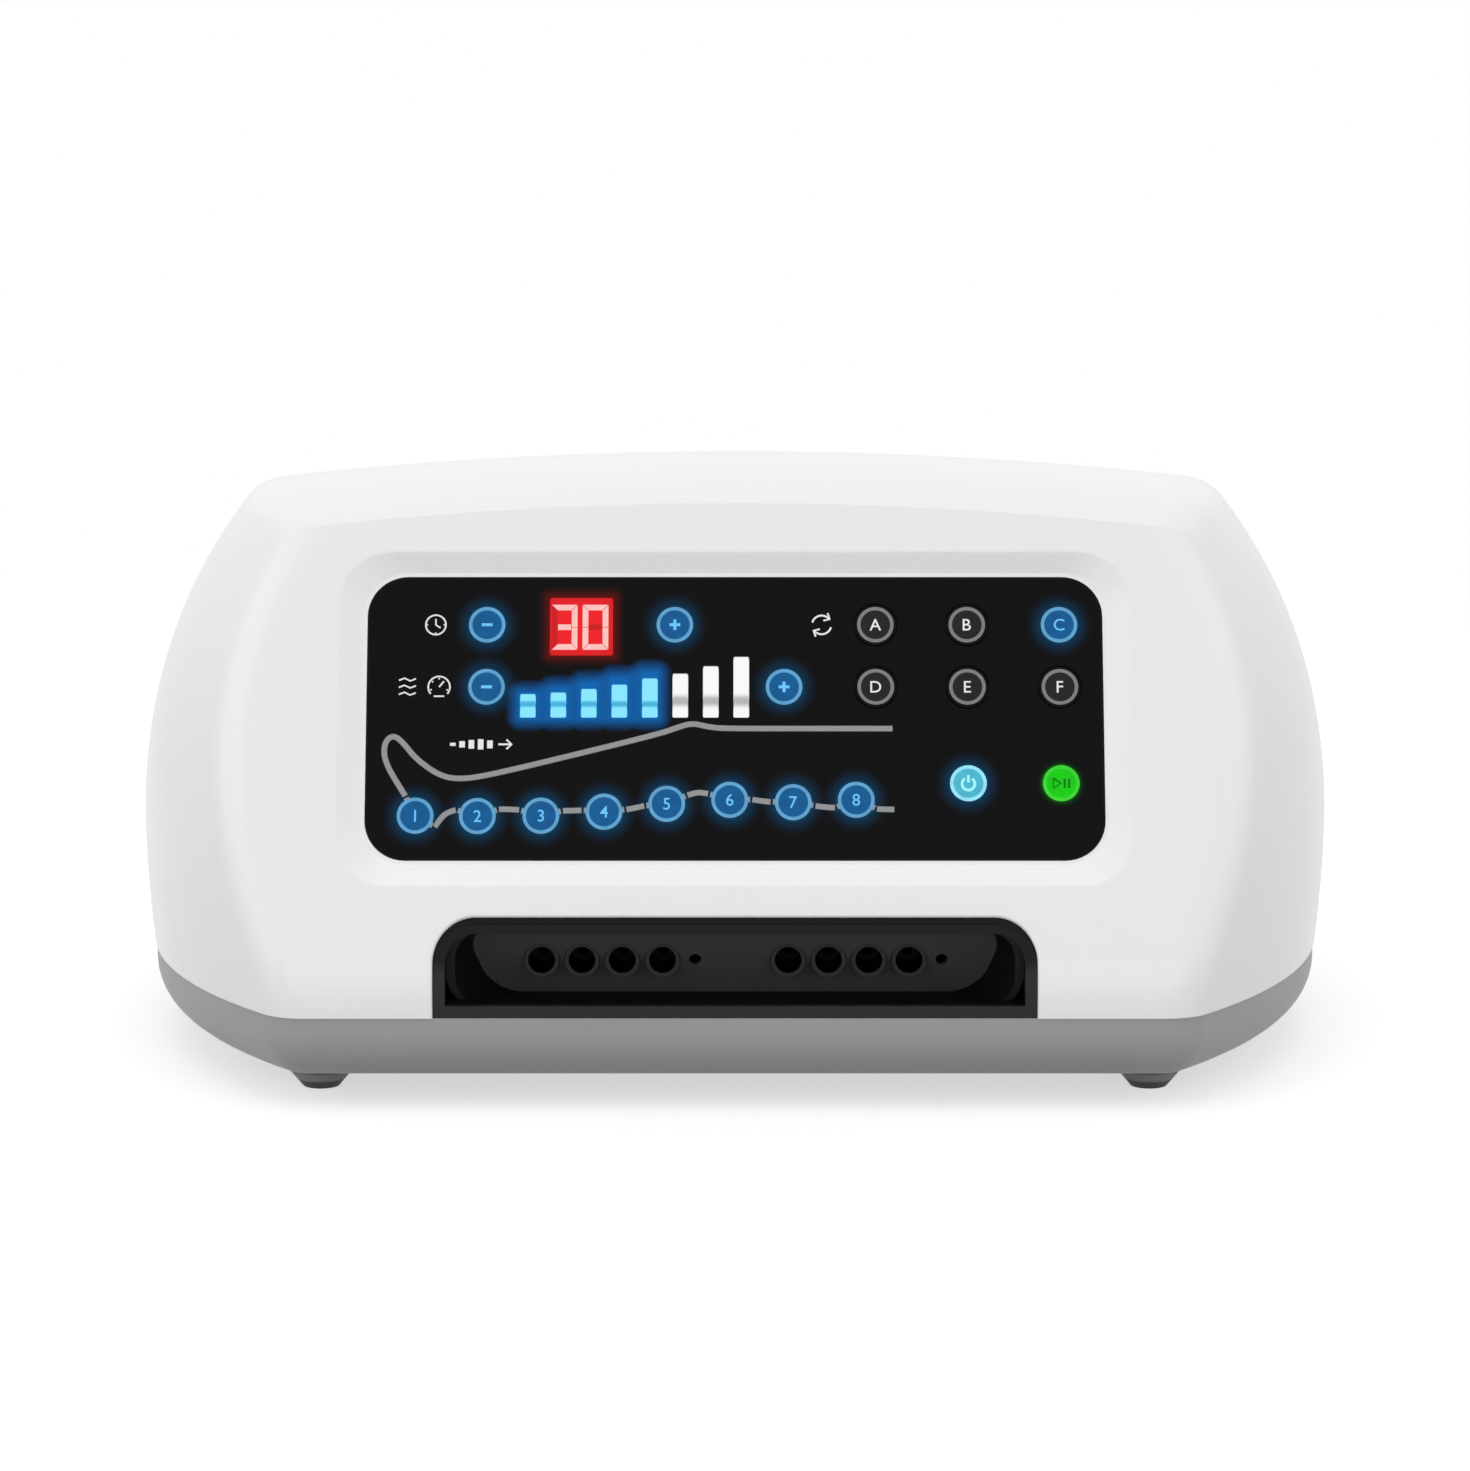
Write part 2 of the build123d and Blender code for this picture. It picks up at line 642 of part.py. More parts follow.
def make_lower_base():
    tray = extrude(plan(SHADOW_STEP), PARTING_Z - BASE_Z)
    tray = Pos(0, 0, BASE_Z) * tray
    bottom = [e for e in tray.edges() if abs(e.center().Z - BASE_Z) < TOUCH]
    tray = fillet(bottom, BASE_ROUND_R)
    inner = Pos(0, 0, floor_z) * extrude(plan(SHADOW_STEP + BASE_WALL), PARTING_Z)
    low = [e for e in inner.edges() if abs(e.center().Z - floor_z) < TOUCH]
    inner = fillet(low, BASE_ROUND_R - BASE_WALL)
    tray = tray - inner
    # lip inside the cover, open across the bay
    lip = extrude(plan(WALL + CLEARANCE), LIP_HEIGHT + BITE)
    lip = lip - extrude(plan(WALL + CLEARANCE + LIP_WALL), LIP_HEIGHT + BITE)
    lip = Pos(0, 0, PARTING_Z - BITE) * lip
    bay = BAY_HALF_W + LIP_BAY_GAP
    lip = lip - brick((-bay, -far, 0), (bay, 0, far))
    tray = tray + lip
    for x, y in case_screw_places:
        tray = tray + Pos(x, y) * rod(BOSS_R, floor_z - BITE, boss_meet_z)
    for x, y in case_screw_places:
        tray = tray - Pos(x, y) * rod(SCREW_HEAD_R + CLEARANCE, 0, floor_z + SCREW_HEAD_H)
        tray = tray - Pos(x, y) * rod(SCREW_R, 0, far)
    for x, y in foot_places:
        tray = tray - Pos(x, y) * rod(FOOT_STEM_R, 0, floor_z + BITE)
    for x, y in pump_mount_places():
        tray = tray - Pos(x, y) * rod(SCREW_R, 0, floor_z + BITE)
    for x, y in main_board_posts:
        tray = tray + Pos(x, y) * rod(BOARD_POST_R, floor_z - BITE, floor_z + MAIN_BOARD_POST_H)
        tray = tray - Pos(x, y) * rod(SCREW_R, floor_z, floor_z + MAIN_BOARD_POST_H + BITE)
    for x, y in transformer_screws:
        tray = tray - Pos(x, y) * rod(SCREW_R, 0, floor_z + BITE)
    for x, y in manifold_screws:
        tray = tray + Pos(x, y) * rod(BOSS_R, floor_z - BITE, manifold_foot_z)
        tray = tray - Pos(x, y) * rod(SCREW_R, 0, manifold_foot_z + BITE)
    return tray


def make_rubber_feet():
    """Feet with a straight band, a shoulder and a flat sole, each held by a barbed stem."""
    band_z = BASE_Z - FOOT_BAND_H
    outline = Polyline(
        (0, 0),
        (FOOT_SOLE_R, 0),
        (FOOT_R - FOOT_SHOULDER_W, band_z - FOOT_SHOULDER_H),
        (FOOT_R, band_z),
        (FOOT_R, BASE_Z),
        (FOOT_STEM_R, BASE_Z),
        (FOOT_STEM_R, floor_z),
        (FOOT_STEM_R + FOOT_BARB, floor_z),
        (FOOT_STEM_R, floor_z + FOOT_BARB_H),
        (0, floor_z + FOOT_BARB_H),
        close=True,
    )
    foot = revolve(Plane.XZ * make_face(outline), Axis.Z, 360)
    return group(Pos(x, y) * foot for x, y in foot_places)


def make_case_screws():
    seat = floor_z + SCREW_HEAD_H
    length = boss_meet_z + CASE_SCREW_GRIP - seat
    return group(Pos(x, y, seat) * screw(length) for x, y in case_screw_places)


# ---------------------------------------------------------------- control panel
def make_control_fascia():
    back = SINK + PANEL_T
    panel = slab(PANEL_W, PANEL_H, PANEL_R, -back, -SINK)
    rim = [e for e in panel.edges() if abs(e.center().Z + SINK) < TOUCH]
    panel = fillet(rim, PANEL_EDGE_R)
    for u, v in KEYS.values():
        panel = panel - Pos(u, v) * rod(KEY_R + GAP, -back, -SINK)
    pane_w = DISPLAY_W + 2 * CLEARANCE
    pane_h = DISPLAY_H + 2 * CLEARANCE
    seat = slab(pane_w, pane_h, DISPLAY_R, -SINK - DISPLAY_T, -SINK)
    sight = slab(DISPLAY_W - 2 * DISPLAY_LEDGE, DISPLAY_H - 2 * DISPLAY_LEDGE, SMALL_R, -back, -SINK)
    panel = panel - Pos(DISPLAY_U, DISPLAY_V) * (seat + sight)
    for u, height in bar_places():
        slot_v = BAR_FOOT_V + height / 2
        slot = slab(BAR_W + 2 * CLEARANCE, height + 2 * CLEARANCE, BAR_R + BAR_SLOT_EASE, -back, -SINK)
        panel = panel - Pos(u, slot_v) * slot
    return FACE * panel


def bar_places():
    return [(BAR_FIRST_U + i * BAR_PITCH, height) for i, height in enumerate(BAR_HEIGHTS)]


def make_display_window():
    pane = slab(DISPLAY_W, DISPLAY_H, DISPLAY_R - CLEARANCE, -SINK - DISPLAY_T, -SINK)
    return on_face(DISPLAY_U, DISPLAY_V) * pane


def make_time_display():
    back = SINK + PANEL_T
    can = slab(DISPLAY_W + CAN_MARGIN, DISPLAY_H + CAN_MARGIN, SMALL_R, -BOARD_DEPTH, -back)
    return on_face(DISPLAY_U, DISPLAY_V) * can


def make_pressure_light_bars():
    back = SINK + PANEL_T
    bars = []
    for u, height in bar_places():
        guide = slab(BAR_W, height, BAR_R, -back, -SINK)
        flange_w = BAR_W + 2 * BAR_FLANGE
        flange_h = height + 2 * BAR_FLANGE
        flange = slab(flange_w, flange_h, SMALL_R, -back - BAR_FLANGE_T, -back)
        bars.append(on_face(u, BAR_FOOT_V + height / 2) * (guide + flange))
    return group(bars)


def make_key(place):
    """Cap, retaining flange and stem of one press key."""
    top = KEY_PROUD - SINK
    flange_top = -SINK - PANEL_T - GAP
    flange_foot = flange_top - KEY_FLANGE_T
    stem_foot = -BOARD_DEPTH + SWITCH_H + PLUNGER_H + KEY_TRAVEL + GAP
    cap = rod(KEY_R, flange_foot, top)
    rim = [e for e in cap.edges() if abs(e.center().Z - top) < TOUCH]
    cap = fillet(rim, KEY_PROUD)
    flange = rod(KEY_R + KEY_FLANGE, flange_foot, flange_top)
    stem = rod(KEY_STEM_R, stem_foot, flange_foot)
    return on_face(*place) * (cap + flange + stem)


def make_key_board():
    board = slab(BOARD_W, BOARD_H, BOARD_R, -BOARD_DEPTH - BOARD_T, -BOARD_DEPTH)
    for u, v in board_screw_places:
        board = board - Pos(u, v * BOARD_SCREW_V) * rod(SCREW_R, -far, far)
    return FACE * board


def make_key_switches():
    switches = []
    for u, v in KEYS.values():
        top = -BOARD_DEPTH + SWITCH_H
        body = Pos(0, 0, (top - BOARD_DEPTH) / 2) * Box(SWITCH_SIZE, SWITCH_SIZE, SWITCH_H)
        switches.append(on_face(u, v) * (body + rod(PLUNGER_R, top, top + PLUNGER_H)))
    return group(switches)


def make_panel_lights():
    """One light beside each key switch and one behind each pressure bar."""
    lights = []
    beside = SWITCH_SIZE / 2 + LIGHT_W / 2 + LIGHT_OFFSET
    foot = -BOARD_DEPTH + LIGHT_H / 2
    for u, v in KEYS.values():
        lights.append(on_face(u, v - beside, -foot) * Box(LIGHT_W, LIGHT_H, LIGHT_H))
    for u, height in bar_places():
        lights.append(on_face(u, BAR_FOOT_V + height / 2, -foot) * Box(LIGHT_H, LIGHT_W, LIGHT_H))
    return group(lights)


# ---------------------------------------------------------------- hose port bay
def plate_side(depth):
    """Everything behind the leaning socket plate's face moved back by depth."""
    ceiling = BAY_TOP_Z - BAY_RIM_TOP
    floor = PARTING_Z + BAY_FLOOR
    slope = (PLATE_FOOT_Y - PLATE_TOP_Y) / (ceiling - floor)
    low = PLATE_FOOT_Y + slope * (floor + BASE_Z) + depth
    high = PLATE_TOP_Y - slope * (far - ceiling) + depth
    outline = Polyline((low, -BASE_Z), (high, far), (far, far), (far, -BASE_Z), close=True)
    return extrude(Plane.YZ * make_face(outline), far, both=True)


def scoop(grow, bottom, ceiling):
    """Funnel that narrows from the rim to the back of the bay."""
    front_y = FRONT_Y + BAY_MOUTH
    front_w = 2 * (BAY_HALF_W - BAY_RIM + min(grow, BAY_RIM - CLEARANCE))
    back_w = 2 * (BAY_BACK_HALF_W + grow)
    height = ceiling - bottom
    middle = (ceiling + bottom) / 2
    corner = BAY_R - BAY_RIM + grow
    sections = [
        Pos(0, y, middle) * Rot(90, 0, 0) * RectangleRounded(width, height, corner)
        for y, width in ((front_y, front_w), (BAY_BACK_Y, back_w))
    ]
    return loft(sections)


def make_port_bay():
    rim_back = FRONT_Y + 2 * BAY_MOUTH
    outer = bay_outline(CLEARANCE, FRONT_Y - 1, rim_back)
    outer = outer & front_and_rear(BAY_SET_BACK)
    ceiling = BAY_TOP_Z - BAY_RIM_TOP
    floor = PARTING_Z + BAY_FLOOR
    body = scoop(BAY_WALL, PARTING_Z + CLEARANCE, ceiling + BAY_WALL) - plate_side(PLATE_T)
    tray = outer + body
    sill_z = PARTING_Z + BAY_SILL
    mouth_w = 2 * (BAY_HALF_W - BAY_RIM)
    mouth_h = 2 * (ceiling - sill_z)
    mouth = upright(mouth_w, mouth_h, BAY_R - BAY_RIM, 0, sill_z, FRONT_Y - 2 * BITE, rim_back)
    mouth = mouth - brick((-far, -far, -far), (far, far, sill_z))
    hollow = scoop(0.0, floor, ceiling)
    tray = tray - ((mouth + hollow) - plate_side(0.0))
    sleeve_r = PORT_R + PORT_WALL + CLEARANCE
    for x in port_xs:
        tray = tray - rod_y(sleeve_r, x, PORT_Z, PLATE_TOP_Y, BAY_BACK_Y)
    for first in CLUSTER_FIRST_X:
        x = first + (PORT_COUNT - 1) * PORT_PITCH + KEYING_DX
        tray = tray - rod_y(KEYING_R, x, PORT_Z, PLATE_TOP_Y, BAY_BACK_Y)
    return tray


def make_air_sockets():
    """Eight hose sockets, each with a barb behind it for its inner tube."""
    sockets = []
    end = PORT_MOUTH_Y + PORT_DEPTH
    back = end + PORT_END
    for x in port_xs:
        tube = rod_y(PORT_R + PORT_WALL, x, PORT_Z, PORT_MOUTH_Y, back)
        tube = tube + rod_y(BARB_R, x, PORT_Z, back, back + BARB_L)
        tube = tube - rod_y(PORT_R, x, PORT_Z, PORT_MOUTH_Y, end)
        tube = tube - rod_y(PASSAGE_R, x, PORT_Z, end, back + BARB_L)
        sockets.append(tube)
    return group(sockets)


manifold_front_y = MANIFOLD_Y - MANIFOLD_D / 2
barb_start_y = PORT_MOUTH_Y + PORT_DEPTH + PORT_END


def make_outlet_tubes():
    tubes = []
    for x in port_xs:
        tube = rod_y(BARB_R + TUBE_WALL, x, PORT_Z, barb_start_y, manifold_front_y)
        tubes.append(tube - rod_y(BARB_R, x, PORT_Z, barb_start_y, manifold_front_y))
    return group(tubes)


# ---------------------------------------------------------------- valves
def make_valve_manifold():
    half = MANIFOLD_D / 2
    top = manifold_foot_z + MANIFOLD_H
    block = brick(
        (manifold_low_x, MANIFOLD_Y - half, manifold_foot_z),
        (manifold_high_x, MANIFOLD_Y + half, top),
    )
    for x in port_xs:
        block = block + rod_y(BARB_R, x, PORT_Z, manifold_front_y - NIPPLE_L, manifold_front_y)
    for x in port_xs:
        block = block - rod_y(PASSAGE_R, x, PORT_Z, manifold_front_y - NIPPLE_L, MANIFOLD_Y)
        block = block - Pos(x, MANIFOLD_Y) * rod(PASSAGE_R, PORT_Z, top)
    for x, y in manifold_screws:
        hole = rod(SCREW_R, manifold_foot_z, manifold_foot_z + MANIFOLD_SCREW_GRIP)
        block = block - Pos(x, y) * hole
    return block


def make_valve_coils():
    foot = manifold_foot_z + MANIFOLD_H
    bore_top = foot + VALVE_PLUNGER_L + VALVE_TRAVEL + VALVE_SPRING_L
    coils = []
    for x in port_xs:
        coil = brick(
            (x - COIL_W / 2, MANIFOLD_Y - COIL_D / 2, foot),
            (x + COIL_W / 2, MANIFOLD_Y + COIL_D / 2, bore_top + COIL_TOP),
        )
        coils.append(coil - Pos(x, MANIFOLD_Y) * rod(VALVE_BORE_R + GAP, foot, bore_top))
    return group(coils)


def make_valve_plunger(x):
    foot = manifold_foot_z + MANIFOLD_H
    plunger = rod(VALVE_BORE_R, foot, foot + VALVE_PLUNGER_L)
    rim = [e for e in plunger.edges() if e.center().Z > foot + 1]
    return Pos(x, MANIFOLD_Y) * chamfer(rim, VALVE_PLUNGER_EDGE)


# ---------------------------------------------------------------- air pump
pump_foot_z = floor_z + MOUNT_H
pump_axis_z = pump_foot_z + PUMP_AXIS_H
pump_end_x = PUMP_W / 2
head_back_x = pump_end_x + DIAPHRAGM_T + HEAD_L
nipple_x = head_back_x - NIPPLE_FROM_END
PUMP = Pos(PUMP_X, PUMP_Y, pump_axis_z)


def pump_mount_places():
    dx = PUMP_W / 2 - MOUNT_R - MOUNT_INSET_X
    dy = PUMP_D / 2 - MOUNT_R - MOUNT_INSET_Y
    return [(PUMP_X + sx * dx, PUMP_Y + sy * dy) for sx in (-1, 1) for sy in (-1, 1)]


def make_pump_housing():
    foot = pump_foot_z - pump_axis_z
    half = PUMP_D / 2
    frame = brick((-pump_end_x, -half, foot), (pump_end_x, half, foot + PUMP_PLATE))
    for s in (-1, 1):
        plate = brick((pump_end_x - PUMP_PLATE, -half, foot), (pump_end_x, half, foot + PUMP_H))
        plate = plate - rod_x(PORTHOLE_R, 0, 0, 0, pump_end_x + 1)
        frame = frame + (plate if s > 0 else mirror(plate, Plane.YZ))
    return PUMP * frame


def make_pump_magnets():
    """The two wound cores, one each side of the armature."""
    foot = pump_foot_z + PUMP_PLATE - pump_axis_z
    inner = ARMATURE_D / 2 + MAGNET_GAP
    core = brick((-MAGNET_W / 2, inner, foot), (MAGNET_W / 2, inner + MAGNET_D, foot + MAGNET_H))
    winding = brick(
        (-WINDING_W / 2, inner + WINDING_IN, foot + WINDING_UP),
        (WINDING_W / 2, inner + MAGNET_D + WINDING_OUT, foot + MAGNET_H + WINDING_UP),
    )
    magnet = core + winding
    return group([PUMP * magnet, PUMP * mirror(magnet, Plane.XZ)])


def make_pump_armature():
    half = ARMATURE_L / 2
    bar = Box(ARMATURE_L, ARMATURE_D, ARMATURE_H)
    inner_end = pump_end_x - ARMATURE_TRAVEL - GAP
    outer_start = pump_end_x + DIAPHRAGM_T + ARMATURE_TRAVEL + GAP
    for s in (-1, 1):
        shaft = rod_x(ARMATURE_SHAFT_R, 0, 0, half - 1, outer_start + ARMATURE_DISC_T)
        shaft = shaft + rod_x(ARMATURE_DISC_R, 0, 0, inner_end - ARMATURE_DISC_T, inner_end)
        shaft = shaft + rod_x(ARMATURE_DISC_R, 0, 0, outer_start, outer_start + ARMATURE_DISC_T)
        bar = bar + (shaft if s > 0 else mirror(shaft, Plane.YZ))
    return PUMP * bar


def make_pump_diaphragms():
    ring = rod_x(DIAPHRAGM_R, 0, 0, pump_end_x, pump_end_x + DIAPHRAGM_T)
    ring = ring - rod_x(ARMATURE_SHAFT_R + GAP, 0, 0, 0, far)
    return group([PUMP * ring, PUMP * mirror(ring, Plane.YZ)])


def make_pump_heads():
    start = pump_end_x + DIAPHRAGM_T
    head = rod_x(HEAD_R, 0, 0, start, head_back_x)
    head = head - rod_x(PORTHOLE_R, 0, 0, start, start + HEAD_CHAMBER_L)
    root_y = NIPPLE_FROM_END - HEAD_R
    head = head + rod_y(HOSE_BORE_R, nipple_x, 0, -HEAD_R - NIPPLE_L, root_y)
    return group([PUMP * head, PUMP * mirror(head, Plane.YZ)])


def make_pump_mounts():
    mount = rod(MOUNT_R, floor_z, pump_foot_z)
    waist = Pos(0, 0, (floor_z + pump_foot_z) / 2) * Torus(MOUNT_R + WAIST_OUT, WAIST_R)
    return group(Pos(x, y) * (mount - waist) for x, y in pump_mount_places())


def hose(points):
    """Hose along straight runs joined by arcs."""
    path = FilletPolyline(*points, radius=HOSE_BEND_R)
    start = Plane(origin=path @ 0, z_dir=path % 0)
    outer = sweep(start * Circle(HOSE_R), path)
    return outer - sweep(start * Circle(HOSE_BORE_R), path)


def make_pump_hoses():
    """From each pump head to an end of the valve manifold."""
    start_y = PUMP_Y - HEAD_R
    hoses = []
    for s, end_x in ((-1, manifold_low_x), (1, manifold_high_x)):
        x = PUMP_X + s * nipple_x
        if s < 0:
            points = [
                (x, start_y, pump_axis_z),
                (x, MANIFOLD_Y, pump_axis_z),
                (x, MANIFOLD_Y, PORT_Z - HOSE_DROP),
                (end_x, MANIFOLD_Y, PORT_Z - HOSE_DROP),
            ]
        else:
            rear = MANIFOLD_Y + MANIFOLD_D / 2
            points = [
                (x, start_y, pump_axis_z),
                (x, start_y - HOSE_END_RUN, pump_axis_z),
                (x, rear + HOSE_END_RUN, PORT_Z),
                (x, rear, PORT_Z),
            ]
        hoses.append(hose(points))
    return group(hoses)


# ---------------------------------------------------------------- electronics
def make_main_board():
    foot = floor_z + MAIN_BOARD_POST_H
    sheet = slab(MAIN_BOARD_W, MAIN_BOARD_D, MAIN_BOARD_R, foot, foot + BOARD_T)
    board = Pos(MAIN_BOARD_X, MAIN_BOARD_Y) * sheet
    for x, y in main_board_posts:
        board = board - Pos(x, y) * rod(SCREW_R, 0, far)
    return board


def make_board_components():
    """Capacitors, sounder, heat sink, driver chips and plugs."""
    top = floor_z + MAIN_BOARD_POST_H + BOARD_T
    pieces = [Pos(x, y) * rod(radius, 0, height) for x, y, radius, height in (*CAPACITORS, SOUNDER)]
    fin_x = SINK_X + SINK_T
    sink = brick((SINK_X, SINK_Y, 0), (fin_x, SINK_Y + SINK_L, SINK_H))
    for i in range(FIN_COUNT):
        y = SINK_Y + i * FIN_PITCH
        sink = sink + brick((fin_x, y, 0), (fin_x + FIN_L, y + FIN_T, SINK_H))
    pieces.append(sink)
    for i in range(CHIP_COUNT):
        pieces.append(corner_box(CHIP_X + i * CHIP_PITCH, CHIP_Y, CHIP_SIZE))
    for i in range(PLUG_COUNT):
        pieces.append(corner_box(PLUG_X + i * PLUG_PITCH, PLUG_Y, PLUG_SIZE))
    return group(Pos(MAIN_BOARD_X, MAIN_BOARD_Y, top) * piece for piece in pieces)


def make_transformer():
    half_w = TRANSFORMER_W / 2
    half_d = TRANSFORMER_D / 2
    core = brick(
        (-half_w, CORE_INSET - half_d, 0),
        (half_w, half_d - CORE_INSET, TRANSFORMER_H),
    )
    bobbin = brick(
        (BOBBIN_INSET - half_w, -half_d, BOBBIN_UP),
        (half_w - BOBBIN_INSET, half_d, TRANSFORMER_H - BOBBIN_UP),
    )
    reach = half_w + TRANSFORMER_TAB
    tab_y = TRANSFORMER_TAB_W / 2
    tabs = brick((-reach, -tab_y, 0), (reach, tab_y, TRANSFORMER_TAB_T))
    body = core + fillet(bobbin.edges().filter_by(Axis.Z), BOBBIN_R) + tabs
    for x, y in transformer_screws:
        body = body - Pos(x - TRANSFORMER_X, 0) * rod(SCREW_R, 0, TRANSFORMER_TAB_T)
    return Pos(TRANSFORMER_X, TRANSFORMER_Y, floor_z) * body


# ---------------------------------------------------------------- mains module
face_y = REAR_Y + INLET_FLANGE_T
rocker_pivot_y = face_y - ROCKER_PIVOT_IN


def make_mains_inlet():
    body = upright(INLET_BODY_W, INLET_BODY_H, INLET_R, INLET_X, INLET_Z, REAR_Y - INLET_BODY_D, REAR_Y)
    flange = upright(
        INLET_FLANGE_W, INLET_FLANGE_H, INLET_FLANGE_R, INLET_X, INLET_Z, REAR_Y, face_y
    )
    outer_rim = [e for e in flange.edges() if abs(e.center().Y - face_y) < TOUCH]
    module = body + fillet(outer_rim, INLET_EDGE_R)
    socket_z = INLET_Z + SOCKET_DZ
    module = module - upright(
        SOCKET_W, SOCKET_H, SOCKET_R, INLET_X, socket_z, face_y - SOCKET_DEPTH, face_y
    )
    fuse_z = INLET_Z + FUSE_DZ
    module = module - upright(
        FUSE_W + 2 * GAP, FUSE_H + 2 * GAP, 0.5, INLET_X, fuse_z, face_y - fuse_depth - 1, face_y
    )
    rocker_z = INLET_Z + ROCKER_DZ
    module = module - upright(
        ROCKER_W + 2 * ROCKER_ROOM,
        ROCKER_H + 2 * GAP,
        ROCKER_ROOM,
        INLET_X,
        rocker_z,
        face_y - ROCKER_POCKET,
        face_y,
    )
    pin_half = ROCKER_H / 2 + ROCKER_PIN_L + GAP
    pivot = Pos(INLET_X, rocker_pivot_y, rocker_z)
    module = module - pivot * rod(ROCKER_PIN_R + GAP, -pin_half, pin_half)
    for s in (-1, 1):
        x = INLET_X + s * INLET_SCREW_X
        module = module - rod_y(SCREW_R, x, INLET_Z, REAR_Y - BITE, face_y)
        sink = rod_y(SCREW_HEAD_R + CLEARANCE, x, INLET_Z, face_y - INLET_FLANGE_T / 2, face_y)
        module = module - sink
    return module


def make_inlet_pins():
    start = face_y - SOCKET_DEPTH
    z = INLET_Z + SOCKET_DZ
    pins = []
    for dx, dz in ((-PIN_PITCH / 2, PIN_DZ), (0, EARTH_DZ), (PIN_PITCH / 2, PIN_DZ)):
        pin = upright(PIN_T, PIN_W, PIN_R, INLET_X + dx, z + dz, start, start + PIN_L)
        pins.append(pin)
    return group(pins)


def make_fuse_drawer():
    z = INLET_Z + FUSE_DZ
    back = face_y - fuse_depth
    drawer = upright(FUSE_W, FUSE_H, SMALL_R, INLET_X, z, back, face_y)
    trough_w = FUSE_L + 2 * CLEARANCE
    trough_y = back + DRAWER_BACK_T
    trough = brick(
        (INLET_X - trough_w / 2, trough_y, z - FUSE_R - CLEARANCE),
        (INLET_X + trough_w / 2, trough_y + 2 * FUSE_R + 2 * CLEARANCE, z + far),
    )
    tab_w = FUSE_W - 2 * FUSE_TAB_INSET
    tab_z = z - FUSE_H / 2 + FUSE_TAB_H
    tab = upright(tab_w, FUSE_TAB_H, SMALL_R, INLET_X, tab_z, face_y, face_y + FUSE_TAB_T)
    return drawer - trough + tab


def make_fuse():
    z = INLET_Z + FUSE_DZ
    y = face_y - fuse_depth + DRAWER_BACK_T + FUSE_R + CLEARANCE
    low_x = INLET_X - FUSE_L / 2
    high_x = INLET_X + FUSE_L / 2
    tube = rod_x(FUSE_R - CLEARANCE, y, z, low_x, high_x)
    caps = rod_x(FUSE_R, y, z, low_x, low_x + FUSE_CAP_L)
    caps = caps + rod_x(FUSE_R, y, z, high_x - FUSE_CAP_L, high_x)
    return tube + caps


def make_mains_switch():
    """Rocker, resting with one end pressed in."""
    half = ROCKER_W / 2
    outline = Polyline(
        (-half, ROCKER_END),
        (0, ROCKER_CREST),
        (half, ROCKER_END),
        (half, ROCKER_SHOULDER),
        (half / 2, -ROCKER_KEEL),
        (-half / 2, -ROCKER_KEEL),
        (-half, ROCKER_SHOULDER),
        close=True,
    )
    rocker = extrude(make_face(outline), ROCKER_H / 2, both=True)
    pin = ROCKER_H / 2 + ROCKER_PIN_L
    rocker = rocker + rod(ROCKER_PIN_R, -pin, pin)
    rocker = Rot(0, 0, -ROCKER_TILT) * rocker
    return Pos(INLET_X, rocker_pivot_y, INLET_Z + ROCKER_DZ) * rocker


def make_machine_screws():
    """Screws of the boards, the transformer, the manifold, the pump and the mains module."""
    screws = []
    for u, side in board_screw_places:
        place = on_face(u, side * BOARD_SCREW_V, BOARD_DEPTH + BOARD_T)
        screws.append(place * screw(KEY_BOARD_SCREW_L))
    board_top = floor_z + MAIN_BOARD_POST_H + BOARD_T
    for x, y in main_board_posts:
        screws.append(Pos(x, y, board_top) * Rot(180, 0, 0) * screw(MAIN_BOARD_SCREW_L))
    tab_screw = screw(TRANSFORMER_TAB_T + BASE_FLOOR - CLEARANCE)
    for x, y in transformer_screws:
        screws.append(Pos(x, y, floor_z + TRANSFORMER_TAB_T) * Rot(180, 0, 0) * tab_screw)
    manifold_screw = screw(manifold_foot_z + MANIFOLD_SCREW_GRIP - BASE_Z)
    for x, y in manifold_screws:
        screws.append(Pos(x, y, BASE_Z) * manifold_screw)
    for x, y in pump_mount_places():
        screws.append(Pos(x, y, BASE_Z) * screw(BASE_FLOOR))
    inlet_screw = Rot(90, 0, 0) * screw(INLET_FLANGE_T / 2 + WALL + INLET_SCREW_TAIL)
    for side in (-1, 1):
        x = INLET_X + side * INLET_SCREW_X
        screws.append(Pos(x, face_y - INLET_FLANGE_T / 2, INLET_Z) * inlet_screw)
    return group(screws)


